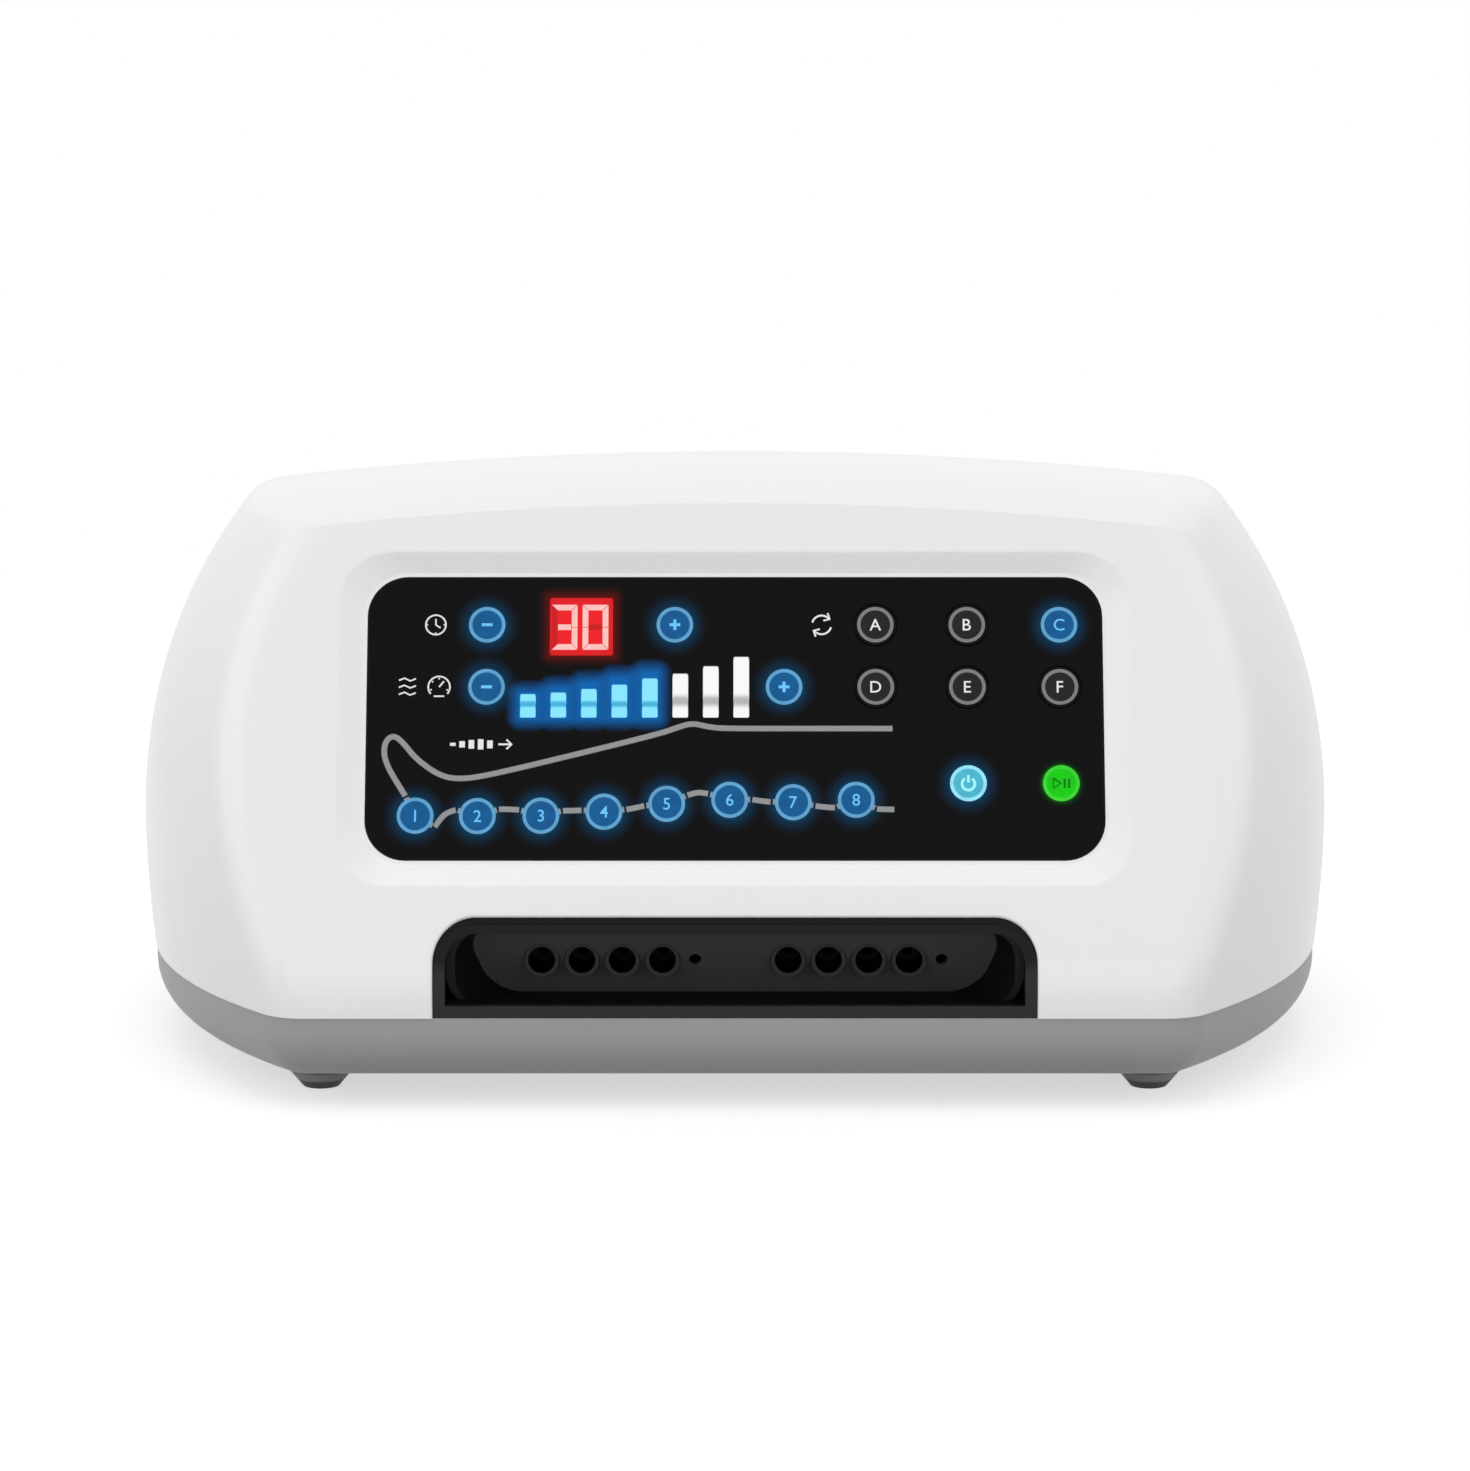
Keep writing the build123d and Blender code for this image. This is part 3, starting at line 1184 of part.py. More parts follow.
# ---------------------------------------------------------------- all the nodes
nodes = {
    "upper_shell": make_upper_shell(),
    "lower_base": make_lower_base(),
    "rubber_feet": make_rubber_feet(),
    "case_screws": make_case_screws(),
    "control_fascia": make_control_fascia(),
    "display_window": make_display_window(),
    "time_display": make_time_display(),
    "pressure_light_bars": make_pressure_light_bars(),
    "key_board": make_key_board(),
    "key_switches": make_key_switches(),
    "panel_lights": make_panel_lights(),
    "port_bay": make_port_bay(),
    "air_sockets": make_air_sockets(),
    "outlet_tubes": make_outlet_tubes(),
    "valve_manifold": make_valve_manifold(),
    "valve_coils": make_valve_coils(),
    "pump_housing": make_pump_housing(),
    "pump_magnets": make_pump_magnets(),
    "pump_armature": make_pump_armature(),
    "pump_diaphragms": make_pump_diaphragms(),
    "pump_heads": make_pump_heads(),
    "pump_mounts": make_pump_mounts(),
    "pump_hoses": make_pump_hoses(),
    "main_board": make_main_board(),
    "board_components": make_board_components(),
    "transformer": make_transformer(),
    "mains_inlet": make_mains_inlet(),
    "inlet_pins": make_inlet_pins(),
    "fuse_drawer": make_fuse_drawer(),
    "fuse": make_fuse(),
    "mains_switch": make_mains_switch(),
    "machine_screws": make_machine_screws(),
}
for name, place in KEYS.items():
    nodes[name] = make_key(place)
for i, x in enumerate(port_xs):
    nodes[f"valve_plunger_{i + 1}"] = make_valve_plunger(x)

os.makedirs("parts", exist_ok=True)
for name, shape in nodes.items():
    export_step(shape, f"parts/{name}.step")
print(len(nodes), "nodes")
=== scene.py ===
# %% [markdown]
# # A compression therapy pump, around its working parts
#
# This lesson dresses a desktop air pump for compression sleeves. The mechanical model is
# already there: every shell, key, socket and screw comes from CAD with its real size. What
# is left for Blender is what the eye needs: printed legends, lit rings, the glow of the
# display, moulded plastic, metal, rubber and the light of a small studio.

# %% Load the frame
import json
import math

import bpy
from mathutils import Matrix, Vector


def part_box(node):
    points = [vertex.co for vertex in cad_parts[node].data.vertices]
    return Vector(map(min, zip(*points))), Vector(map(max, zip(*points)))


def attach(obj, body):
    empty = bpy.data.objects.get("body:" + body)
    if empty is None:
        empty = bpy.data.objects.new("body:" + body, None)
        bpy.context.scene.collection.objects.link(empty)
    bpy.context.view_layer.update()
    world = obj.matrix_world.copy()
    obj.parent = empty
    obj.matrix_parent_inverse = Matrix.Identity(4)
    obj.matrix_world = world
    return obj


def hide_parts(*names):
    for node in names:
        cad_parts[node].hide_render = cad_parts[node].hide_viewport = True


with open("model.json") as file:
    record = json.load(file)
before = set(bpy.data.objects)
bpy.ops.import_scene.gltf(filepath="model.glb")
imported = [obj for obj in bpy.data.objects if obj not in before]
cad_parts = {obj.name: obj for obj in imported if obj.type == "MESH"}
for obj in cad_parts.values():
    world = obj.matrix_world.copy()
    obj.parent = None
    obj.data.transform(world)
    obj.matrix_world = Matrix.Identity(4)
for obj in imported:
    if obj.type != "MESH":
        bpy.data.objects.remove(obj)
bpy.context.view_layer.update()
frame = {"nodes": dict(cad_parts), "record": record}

nodes = frame["nodes"]
record = frame["record"]

# %% [markdown]
# ## Small helpers
#
# Blender's operators act on whatever is selected, and loading a model leaves all of it
# selected. So the first helpers clear the selection and pick one object. `settle` moves a
# finished piece to its place and writes that place into its mesh, which leaves the object
# itself at the origin: patterns that follow Object coordinates then stay put.

# %% Selection and placing
def clear_selection():
    """Leaves nothing selected, so that an operator acts only on what is picked next."""
    bpy.ops.object.select_all(action="DESELECT")


def pick(*objects):
    """Selects these objects and makes the last one active."""
    clear_selection()
    for obj in objects:
        obj.select_set(True)
    bpy.context.view_layer.objects.active = objects[-1]


def settle(piece, place):
    """Moves a piece by the matrix `place` and writes the move into its mesh."""
    piece.matrix_world = place @ piece.matrix_world
    pick(piece)
    bpy.ops.object.transform_apply(location=True, rotation=True, scale=True)


def joined(*parts):
    """Joins several meshes into one object and returns it."""
    pick(*parts)
    bpy.ops.object.join()
    return bpy.context.object


def own_copy(piece):
    """A copy of a piece with a mesh of its own."""
    copy = piece.copy()
    copy.data = piece.data.copy()
    bpy.context.collection.objects.link(copy)
    return copy


def hand_over(piece, name, body, slot, *materials):
    """Names a finished piece, paints it, and lets it ride on a body of the frame."""
    piece.name = name
    piece.data.name = name
    for index, material in enumerate(materials):
        if index < len(piece.data.materials):
            piece.data.materials[index] = material
        else:
            piece.data.materials.append(material)
    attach(piece, body)


# %% [markdown]
# ## The leaning face
#
# The control panel leans back, and the keys are pressed straight into it. The press axis of
# any key is therefore the panel's normal, turned round. With the panel's own vertices it
# gives a drawing board on the panel: u runs to the right, v runs up, both in millimetres
# from the panel's centre, and every legend can be drawn flat and then laid on the slope.

# %% Face coordinates
MM = 0.001
press_joint = next(j for j in record["behaviour"]["joints"] if j["name"] == "power_press")
FACE_NORMAL = -Vector(press_joint["axis"]).normalized()
FACE_RIGHT = Vector((1, 0, 0))
FACE_UP = FACE_NORMAL.cross(FACE_RIGHT)


def spread_along(node, axis):
    """The lowest and highest place of a node's vertices along an axis, in metres."""
    places = [vertex.co.dot(axis) for vertex in nodes[node].data.vertices]
    return min(places), max(places)


FACE_LEVEL = spread_along("control_fascia", FACE_NORMAL)[1]
FACE_MIDDLE = sum(spread_along("control_fascia", FACE_UP)) / 2


def face_point(u, v, lift=0.0):
    """The point u, v millimetres from the panel's centre, lifted off its surface."""
    return (FACE_RIGHT * u * MM + FACE_UP * (FACE_MIDDLE + v * MM)
            + FACE_NORMAL * (FACE_LEVEL + lift * MM))


def face_place(u, v, lift=0.0):
    """The matrix that lays a flat drawing in millimetres on the panel at u, v."""
    turn = Matrix((FACE_RIGHT, FACE_UP, FACE_NORMAL)).transposed().to_4x4()
    return Matrix.Translation(face_point(u, v, lift)) @ turn @ Matrix.Scale(MM, 4)


KEY_NODES = sorted(name for name in nodes if name.endswith("_key"))
key_place = {}
for name in KEY_NODES:
    u = sum(spread_along(name, FACE_RIGHT)) / 2 / MM
    v = (sum(spread_along(name, FACE_UP)) / 2 - FACE_MIDDLE) / MM
    lift = (spread_along(name, FACE_NORMAL)[1] - FACE_LEVEL) / MM
    key_place[name] = (u, v, lift)
    print(f"{name:20s} u {u:7.2f}  v {v:7.2f}  stands {lift:.2f} mm proud")

# %% [markdown]
# ## Camera first
#
# The camera looks at the front from a little above, with a long lens that keeps the sides
# almost parallel, as in a catalogue picture. The whole console has to be in the frame with
# some room around it.

# %% Camera
CAMERA_AT = Vector((0.0, -1.280, 0.3007))
LOOK_AT = Vector((0.0, 0.0, 0.075))
LENS_MM = 120
SENSOR_MM = 36

bpy.ops.object.camera_add(location=CAMERA_AT)
camera = bpy.context.object
camera.rotation_euler = (LOOK_AT - CAMERA_AT).to_track_quat("-Z", "Y").to_euler()
camera.data.lens = LENS_MM
camera.data.sensor_width = SENSOR_MM
bpy.context.scene.camera = camera
print("camera:", (LOOK_AT - CAMERA_AT).length, "m from the console")

# %% [markdown]
# ## Studio
#
# A pale floor, five wide soft lamps (above, in front, at both sides and behind) and a pale
# grey world. A small strong lamp would burn a white spot into gloss plastic, so every lamp
# is wide, and all are kept low enough for the white case to stay just under full white.
# Far from the console the floor turns plain white for the camera and for reflections, which
# hides the lamps' fall-off, while close by it stays a real surface and keeps the shadow.
# The world is white behind the console and grey in front, to give reflections some shape.

# %% Node helpers
def add_node(tree, kind, inputs=None, **settings):
    """Adds a node, sets its options, and fills its inputs with values or links."""
    node = tree.nodes.new(kind)
    for option, value in settings.items():
        setattr(node, option, value)
    for socket, value in (inputs or {}).items():
        if isinstance(value, bpy.types.NodeSocket):
            tree.links.new(value, node.inputs[socket])
        else:
            node.inputs[socket].default_value = value
    return node


def coordinate(tree, place, axis):
    """How far a point lies along X, Y or Z."""
    return add_node(tree, "ShaderNodeSeparateXYZ", {0: place}).outputs[axis]


def calc(tree, operation, first, second=0.0, clamp=False):
    """The result of a Math node."""
    node = add_node(tree, "ShaderNodeMath", {0: first, 1: second},
                    operation=operation, use_clamp=clamp)
    return node.outputs[0]


def measure(tree, operation, first, second):
    """The number that a Vector Math node gives, such as a distance or a dot product."""
    node = add_node(tree, "ShaderNodeVectorMath", {0: first, 1: second}, operation=operation)
    return node.outputs["Value"]


def fade(tree, value, start, end, at_start=0.0, at_end=1.0, smooth=True):
    """Maps a value between start and end to another pair of values, and no further."""
    node = add_node(tree, "ShaderNodeMapRange",
                    {"Value": value, "From Min": start, "From Max": end,
                     "To Min": at_start, "To Max": at_end},
                    interpolation_type="SMOOTHSTEP" if smooth else "LINEAR")
    return node.outputs["Result"]


def mixed(tree, factor, first, second, how="MIX"):
    """The colour that a Mix node gives."""
    node = add_node(tree, "ShaderNodeMix", {0: factor, 6: first, 7: second},
                    data_type="RGBA", blend_type=how)
    return node.outputs[2]


def tone(code):
    """Linear red, green, blue and alpha from a colour's six hexadecimal digits."""
    channels = [int(code[i:i + 2], 16) / 255 for i in (0, 2, 4)]
    linear = [c / 12.92 if c <= 0.04045 else ((c + 0.055) / 1.055) ** 2.4 for c in channels]
    return (*linear, 1.0)


def seen_directly(tree):
    """1 for rays from the camera, from reflections and through glass, and 0 for light."""
    light_path = add_node(tree, "ShaderNodeLightPath")
    seen = calc(tree, "MAXIMUM", light_path.outputs["Is Camera Ray"],
                light_path.outputs["Is Glossy Ray"])
    return calc(tree, "MAXIMUM", seen, light_path.outputs["Is Transmission Ray"])


# %% World
WHITE = (1, 1, 1, 1)
WORLD_LIGHT = 0.55
BACKDROP_EDGE = (-0.30, 0.15)

world = bpy.data.worlds.new("studio_world")
bpy.context.scene.world = world
world.use_nodes = True
tree = world.node_tree
tree.nodes.clear()
direction = add_node(tree, "ShaderNodeTexCoord").outputs["Generated"]
backdrop = fade(tree, coordinate(tree, direction, "Y"), *BACKDROP_EDGE)
white_part = calc(tree, "MULTIPLY", seen_directly(tree), backdrop)
shade = fade(tree, white_part, 0.0, 1.0, WORLD_LIGHT, 1.0, smooth=False)
sky = add_node(tree, "ShaderNodeBackground", {"Color": WHITE, "Strength": shade})
add_node(tree, "ShaderNodeOutputWorld", {"Surface": sky.outputs[0]})
print("world light:", WORLD_LIGHT)

# %% Floor
FLOOR_SIZE = 60.0
SHADOW_REACH = (0.30, 0.90)
FLOOR_IN_LIGHT = (0.36, 0.36, 0.36, 1)
FLOOR_SEEN = (0.50, 0.50, 0.50, 1)
FLOOR_LIFT = 0.60
FLOOR_ROUGHNESS = 0.7

clear_selection()
bpy.ops.mesh.primitive_plane_add(size=FLOOR_SIZE)
floor = bpy.context.object
floor.name = "studio_floor"
floor_paint = bpy.data.materials.new("studio_floor")
floor_paint.use_nodes = True
tree = floor_paint.node_tree
tree.nodes.clear()
place = add_node(tree, "ShaderNodeTexCoord").outputs["Object"]
away = measure(tree, "DISTANCE", place, (0.0, 0.0, 0.0))
seen = seen_directly(tree)
far = calc(tree, "MULTIPLY", fade(tree, away, *SHADOW_REACH), seen)
paint = mixed(tree, seen, FLOOR_IN_LIGHT, FLOOR_SEEN)
near_floor = add_node(tree, "ShaderNodeBsdfPrincipled",
                      {"Base Color": paint, "Roughness": FLOOR_ROUGHNESS,
                       "Emission Color": WHITE,
                       "Emission Strength": calc(tree, "MULTIPLY", seen, FLOOR_LIFT)})
far_floor = add_node(tree, "ShaderNodeEmission", {"Color": WHITE, "Strength": 1.0})
floor_mix = add_node(tree, "ShaderNodeMixShader",
                     {0: far, 1: near_floor.outputs[0], 2: far_floor.outputs[0]})
add_node(tree, "ShaderNodeOutputMaterial", {"Surface": floor_mix.outputs[0]})
floor.data.materials.append(floor_paint)
print("floor:", FLOOR_SIZE, "m wide, a real surface as far as", SHADOW_REACH[0], "m out")

# %% Lamps
LAMPS = {
    # name: (place, width and height in metres, watts)
    "lamp_above": ((-0.10, -0.45, 1.80), (1.6, 1.6), 6.8),
    "lamp_front": ((0.00, -2.30, 0.45), (2.6, 0.85), 9.5),
    "lamp_left": ((-1.75, -0.95, 0.85), (1.9, 1.9), 13.0),
    "lamp_right": ((1.75, -0.95, 0.85), (1.9, 1.9), 10.0),
    "lamp_behind": ((0.00, 1.90, 1.40), (2.6, 2.6), 3.2),
}
for name, (at, size, watts) in LAMPS.items():
    bpy.ops.object.light_add(type="AREA", location=at)
    lamp = bpy.context.object
    lamp.name = name
    lamp.data.shape = "RECTANGLE"
    lamp.data.size, lamp.data.size_y = size
    lamp.data.energy = watts
    lamp.rotation_euler = (LOOK_AT - Vector(at)).to_track_quat("-Z", "Y").to_euler()
bpy.context.scene.view_settings.view_transform = "Standard"
print("lamps:", ", ".join(LAMPS))

# %% [markdown]
# ## Finishes: what moulded plastic needs
#
# Injection-moulded plastic is never one flat colour. The mould leaves a fine grain, the
# gloss drifts a little over a wall, and the colour varies by a percent or two. That is one
# effect with many strengths, so it becomes a node group: it is built once, and each plastic
# gives it its own values. A group hands out plain values only; the shader stays outside.

# %% Group builder and the moulded skin
def new_group(name, inputs, outputs):
    """An empty shader node group with named sockets: (group, its inputs inside, its end)."""
    group = bpy.data.node_groups.new(name, "ShaderNodeTree")
    for label, kind, value in inputs:
        socket = group.interface.new_socket(name=label, in_out="INPUT", socket_type=kind)
        socket.default_value = value
    for label, kind in outputs:
        group.interface.new_socket(name=label, in_out="OUTPUT", socket_type=kind)
    return group, group.nodes.new("NodeGroupInput").outputs, group.nodes.new("NodeGroupOutput")


def hand_out(group, end, **results):
    """Links results to a group's outputs; an underscore in a name stands for a space."""
    for label, result in results.items():
        group.links.new(result, end.inputs[label.replace("_", " ")])


FLOAT, VECTOR = "NodeSocketFloat", "NodeSocketVector"
FLOW_PER_METRE = 16.0

moulded_skin, given, end = new_group(
    "moulded_skin",
    [("Vector", VECTOR, (0, 0, 0)), ("Grain per Metre", FLOAT, 2500.0),
     ("Tone Spread", FLOAT, 0.03)],
    [("Tone", FLOAT), ("Drift", FLOAT), ("Height", FLOAT)])
grain = add_node(moulded_skin, "ShaderNodeTexNoise",
                 {"Vector": given["Vector"], "Scale": given["Grain per Metre"], "Detail": 2.0})
flow = add_node(moulded_skin, "ShaderNodeTexNoise",
                {"Vector": given["Vector"], "Scale": FLOW_PER_METRE, "Detail": 3.0,
                 "Roughness": 0.45})
swing = calc(moulded_skin, "SUBTRACT", flow.outputs[0], 0.5)
tint = calc(moulded_skin, "MULTIPLY", swing, given["Tone Spread"])
hand_out(moulded_skin, end, Tone=calc(moulded_skin, "ADD", tint, 1.0), Drift=swing,
         Height=grain.outputs[0])


# %% A plastic from the skin
def new_material(name):
    """An empty material: (material, its node tree, its Object coordinates)."""
    material = bpy.data.materials.new(name)
    material.use_nodes = True
    material.node_tree.nodes.clear()
    tree = material.node_tree
    return material, tree, add_node(tree, "ShaderNodeTexCoord").outputs["Object"]


def shaded(tree, **inputs):
    """Ends a material in a Principled shader; an underscore stands for a space."""
    inputs = {label.replace("_", " "): value for label, value in inputs.items()}
    shader = add_node(tree, "ShaderNodeBsdfPrincipled", inputs)
    add_node(tree, "ShaderNodeOutputMaterial", {"Surface": shader.outputs[0]})


def scaled(tree, colour, factor):
    """A colour, brighter or darker by a number that changes over the surface."""
    vector = colour[:3] if isinstance(colour, tuple) else colour
    node = add_node(tree, "ShaderNodeVectorMath", {0: vector, 3: factor}, operation="SCALE")
    return node.outputs[0]


def raised(tree, height, depth):
    """The normal of a Bump node for a height field `depth` metres deep."""
    return add_node(tree, "ShaderNodeBump", {"Height": height, "Distance": depth}).outputs[0]


def plastic(name, code, roughness, grain, depth, tone_spread=0.04, drift=0.08, zones=(),
            **more):
    """Moulded plastic: colour, gloss, grain per metre and grain depth in metres.

    Each zone is a function that gives a mask on the tree, and the colour used there."""
    material, tree, place = new_material(name)
    skin = add_node(tree, "ShaderNodeGroup",
                    {"Vector": place, "Grain per Metre": grain, "Tone Spread": tone_spread},
                    node_tree=moulded_skin)
    gloss = calc(tree, "ADD", calc(tree, "MULTIPLY", skin.outputs["Drift"], drift), roughness)
    colour = tone(code)
    for zone, zone_code in zones:
        colour = mixed(tree, zone(tree, place), colour, tone(zone_code))
    shaded(tree, Base_Color=scaled(tree, colour, skin.outputs["Tone"]), Roughness=gloss,
           Normal=raised(tree, skin.outputs["Height"], depth), **more)
    return material


# %% [markdown]
# ## The plastics of this console
#
# The case is gloss white, with a skin so fine that only the reflections tell it. The base
# below is satin grey with a coarser spark-eroded grain, the hose bay is charcoal, and the
# sockets and the mains inlet are plain black. Rubber is rougher and nearly without shine.

# %% Zones of the feet and the hose bay
FLANK_HEIGHT = 3.3 * MM
FLANK_EDGE = (0.7 * MM, 1.7 * MM)
# Where the bay's painted shade and painted light lie: tray, socket plate and socket bores.
RIM_BACK = (-106.6 * MM, -105.6 * MM)
PLATE_TOP = (-96.0 * MM, 43.9 * MM)
PLATE_FOOT = (-84.0 * MM, 24.9 * MM)
PLATE_SKIN = (-0.30 * MM, -0.10 * MM)
BORE_MOUTH = (-90.9 * MM, -90.3 * MM)


def flank_band(tree, place):
    """A lighter grey band round the flank of a foot, between its sole and its seat."""
    height = coordinate(tree, place, "Z")
    off = calc(tree, "ABSOLUTE", calc(tree, "SUBTRACT", height, FLANK_HEIGHT))
    return fade(tree, off, *FLANK_EDGE, 1.0, 0.0)


def shade_behind_the_rim(tree, place):
    """Painted shade: the tray inside the rim, which hardly any light reaches, darkened to near
    black.
    """
    return fade(tree, coordinate(tree, place, "Y"), *RIM_BACK)


def painted_light_on_plate(tree, place):
    """Painted light on the leaning plate that the sockets stand in, given by the Y and Z of
    its two ends.
    """
    slope = (PLATE_FOOT[0] - PLATE_TOP[0]) / (PLATE_TOP[1] - PLATE_FOOT[1])
    below_top = calc(tree, "SUBTRACT", PLATE_TOP[1], coordinate(tree, place, "Z"))
    plane = calc(tree, "ADD", calc(tree, "MULTIPLY", below_top, slope), PLATE_TOP[0])
    behind = calc(tree, "SUBTRACT", coordinate(tree, place, "Y"), plane)
    return fade(tree, behind, *PLATE_SKIN)


def shade_inside_the_bore(tree, place):
    """Painted shade: the hole of a socket, darkened from a little way in from its mouth."""
    return fade(tree, coordinate(tree, place, "Y"), *BORE_MOUTH)


# %% Plastics and rubber
paints = {
    # colour, roughness, grain per metre, grain depth in metres, spread of tone, drift of gloss
    "white_case": plastic("white_case", "ebebea", 0.24, 1400, 1.2e-6, 0.02, 0.06),
    "grey_base": plastic("grey_base", "979798", 0.46, 2600, 2.0e-5, 0.06, 0.10),
    # painted shade: the tray behind the rim is darkened to near black
    "charcoal_bay": plastic("charcoal_bay", "222223", 0.50, 2600, 1.5e-5, 0.08, 0.10,
                            # painted light: the socket plate is lighter than the rest of the
                            # bay
                            [(shade_behind_the_rim, "040404"), (painted_light_on_plate, "48484a")],
                            Specular_IOR_Level=0.20),
    # painted shade: the socket bores are darkened to near black
    "socket_plastic": plastic("socket_plastic", "343436", 0.50, 2200, 8e-6, 0.08, 0.10,
                              [(shade_inside_the_bore, "020202")], Specular_IOR_Level=0.12),
    "inlet_black": plastic("inlet_black", "17171a", 0.40, 2400, 1e-5, 0.08, 0.10),
    "rocker_gloss": plastic("rocker_gloss", "101012", 0.18, 1200, 1e-6, 0.05, 0.05),
    "foot_rubber": plastic("foot_rubber", "2b2b2c", 0.60, 1800, 3e-5, 0.15, 0.12,
                           [(flank_band, "8a8a8a")]),
    "white_nylon": plastic("white_nylon", "d9d6cb", 0.40, 900, 1e-5, 0.06, 0.12,
                           Subsurface_Weight=0.10, Subsurface_Radius=(0.003, 0.002, 0.0015)),
    "switch_plastic": plastic("switch_plastic", "222326", 0.40, 2500, 6e-6, 0.10, 0.10),
    "silicone_tube": plastic("silicone_tube", "cfcfc9", 0.38, 600, 4e-6, 0.08, 0.15,
                             Subsurface_Weight=0.20, Subsurface_Radius=(0.004, 0.004, 0.003)),
    "white_lights": plastic("white_lights", "d6dce0", 0.25, 900, 1e-6, 0.08, 0.05),
}
print("plastics:", ", ".join(paints))

# %% [markdown]
# ## Metals and the parts inside
#
# Turned steel and die-cast aluminium differ in their marks: fine stretched scratches on one,
# a soft cast skin on the other. Windings, laminations and the circuit board get patterns of
# their own, all from noise, waves and cells, so that no picture file is needed.

# %% Metals
MARK_TONES = (0.86, 1.05)

turned_marks, given, end = new_group(
    "turned_marks",
    [("Vector", VECTOR, (0, 0, 0)), ("Stretch", VECTOR, (400, 400, 6000))],
    [("Tone", FLOAT), ("Height", FLOAT)])
stretched = add_node(turned_marks, "ShaderNodeVectorMath",
                     {0: given["Vector"], 1: given["Stretch"]}, operation="MULTIPLY")
marks = add_node(turned_marks, "ShaderNodeTexNoise",
                 {"Vector": stretched.outputs[0], "Scale": 1.0, "Detail": 3.0})
mark_tone = fade(turned_marks, marks.outputs[0], 0.25, 0.75, *MARK_TONES)
hand_out(turned_marks, end, Tone=mark_tone, Height=marks.outputs[0])


def metal(name, code, roughness, stretch, depth=3e-6):
    """Bare metal; its marks run long where `stretch`, their number per metre, is small."""
    material, tree, place = new_material(name)
    marks = add_node(tree, "ShaderNodeGroup", {"Vector": place, "Stretch": stretch},
                     node_tree=turned_marks)
    gloss = calc(tree, "DIVIDE", roughness, marks.outputs["Tone"])
    shaded(tree, Base_Color=scaled(tree, tone(code), marks.outputs["Tone"]), Metallic=1.0,
           Roughness=gloss, Normal=raised(tree, marks.outputs["Height"], depth))
    return material


paints["steel"] = metal("steel", "c3c4c8", 0.28, (900, 900, 900))
paints["armature_steel"] = metal("armature_steel", "b0b1b6", 0.30, (5000, 300, 300))
paints["cast_aluminium"] = metal("cast_aluminium", "bcbdc0", 0.48, (700, 700, 700), 2e-5)
paints["brass_pins"] = metal("brass_pins", "d8b878", 0.22, (300, 5000, 300))

# %% Windings and laminations
def banded(name, dark, light, per_metre, roughness, metallic, depth):
    """Layers up the Z axis, as in a stack of sheet steel or a taped winding."""
    material, tree, place = new_material(name)
    waves = add_node(tree, "ShaderNodeTexWave",
                     {"Vector": place, "Scale": per_metre, "Distortion": 0.6, "Detail": 1.0},
                     bands_direction="Z")
    shaded(tree, Base_Color=mixed(tree, waves.outputs["Fac"], tone(dark), tone(light)),
           Metallic=metallic, Roughness=roughness,
           Normal=raised(tree, waves.outputs["Fac"], depth))
    return material


paints["core_steel"] = banded("core_steel", "3a3b3e", "6b6c70", 320, 0.45, 0.7, 8e-5)
paints["coil_wrap"] = banded("coil_wrap", "8a6a1e", "b08c3a", 260, 0.42, 0.0, 4e-5)

# %% Board, components and fuse
TRACKS_PER_METRE = 260.0
TRACK_EDGE = (0.42, 0.50)
CHIPS_PER_METRE = 70.0
GLASS_END = (4.4 * MM, 4.6 * MM)
DUST_PER_METRE = 900.0
NOISE_LOW, NOISE_HIGH = 0.3, 0.7

material, tree, place = new_material("circuit_board")
cells = add_node(tree, "ShaderNodeTexVoronoi", {"Vector": place, "Scale": TRACKS_PER_METRE},
                 distance="MANHATTAN")
tracks = fade(tree, cells.outputs["Distance"], *TRACK_EDGE)
shaded(tree, Base_Color=mixed(tree, tracks, tone("0f5a32"), tone("2a8a55")),
       Roughness=0.32, Normal=raised(tree, tracks, 2e-5))
paints["circuit_board"] = material

material, tree, place = new_material("component_black")
cells = add_node(tree, "ShaderNodeTexVoronoi", {"Vector": place, "Scale": CHIPS_PER_METRE})
body_tone = fade(tree, cells.outputs["Color"], 0.2, 0.8)
shaded(tree, Base_Color=mixed(tree, body_tone, tone("1a1b20"), tone("39414d")), Roughness=0.38)
paints["component_black"] = material

material, tree, place = new_material("fuse_glass")
fuse_low, fuse_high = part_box("fuse")
aside = calc(tree, "SUBTRACT", coordinate(tree, place, "X"), (fuse_low.x + fuse_high.x) / 2)
cap = fade(tree, calc(tree, "ABSOLUTE", aside), *GLASS_END, smooth=False)
dust = add_node(tree, "ShaderNodeTexNoise", {"Vector": place, "Scale": DUST_PER_METRE})
shaded(tree, Base_Color=mixed(tree, cap, tone("cfdcd8"), tone("b9babd")),
       Roughness=fade(tree, dust.outputs[0], NOISE_LOW, NOISE_HIGH, 0.08, 0.25))
paints["fuse_glass"] = material
print("finishes so far:", len(paints))

# %% [markdown]
# ## Light under the panel
#
# The panel is one sheet of black gloss plastic with lamps behind it. Each lit ring, the
# display and the bars leak a little light into the sheet, a soft glow that fades within a
# few millimetres. One group measures how far a point is from a lit shape, a rounded box on
# the face, and turns that into a fade. The panel and the key caps share the result.

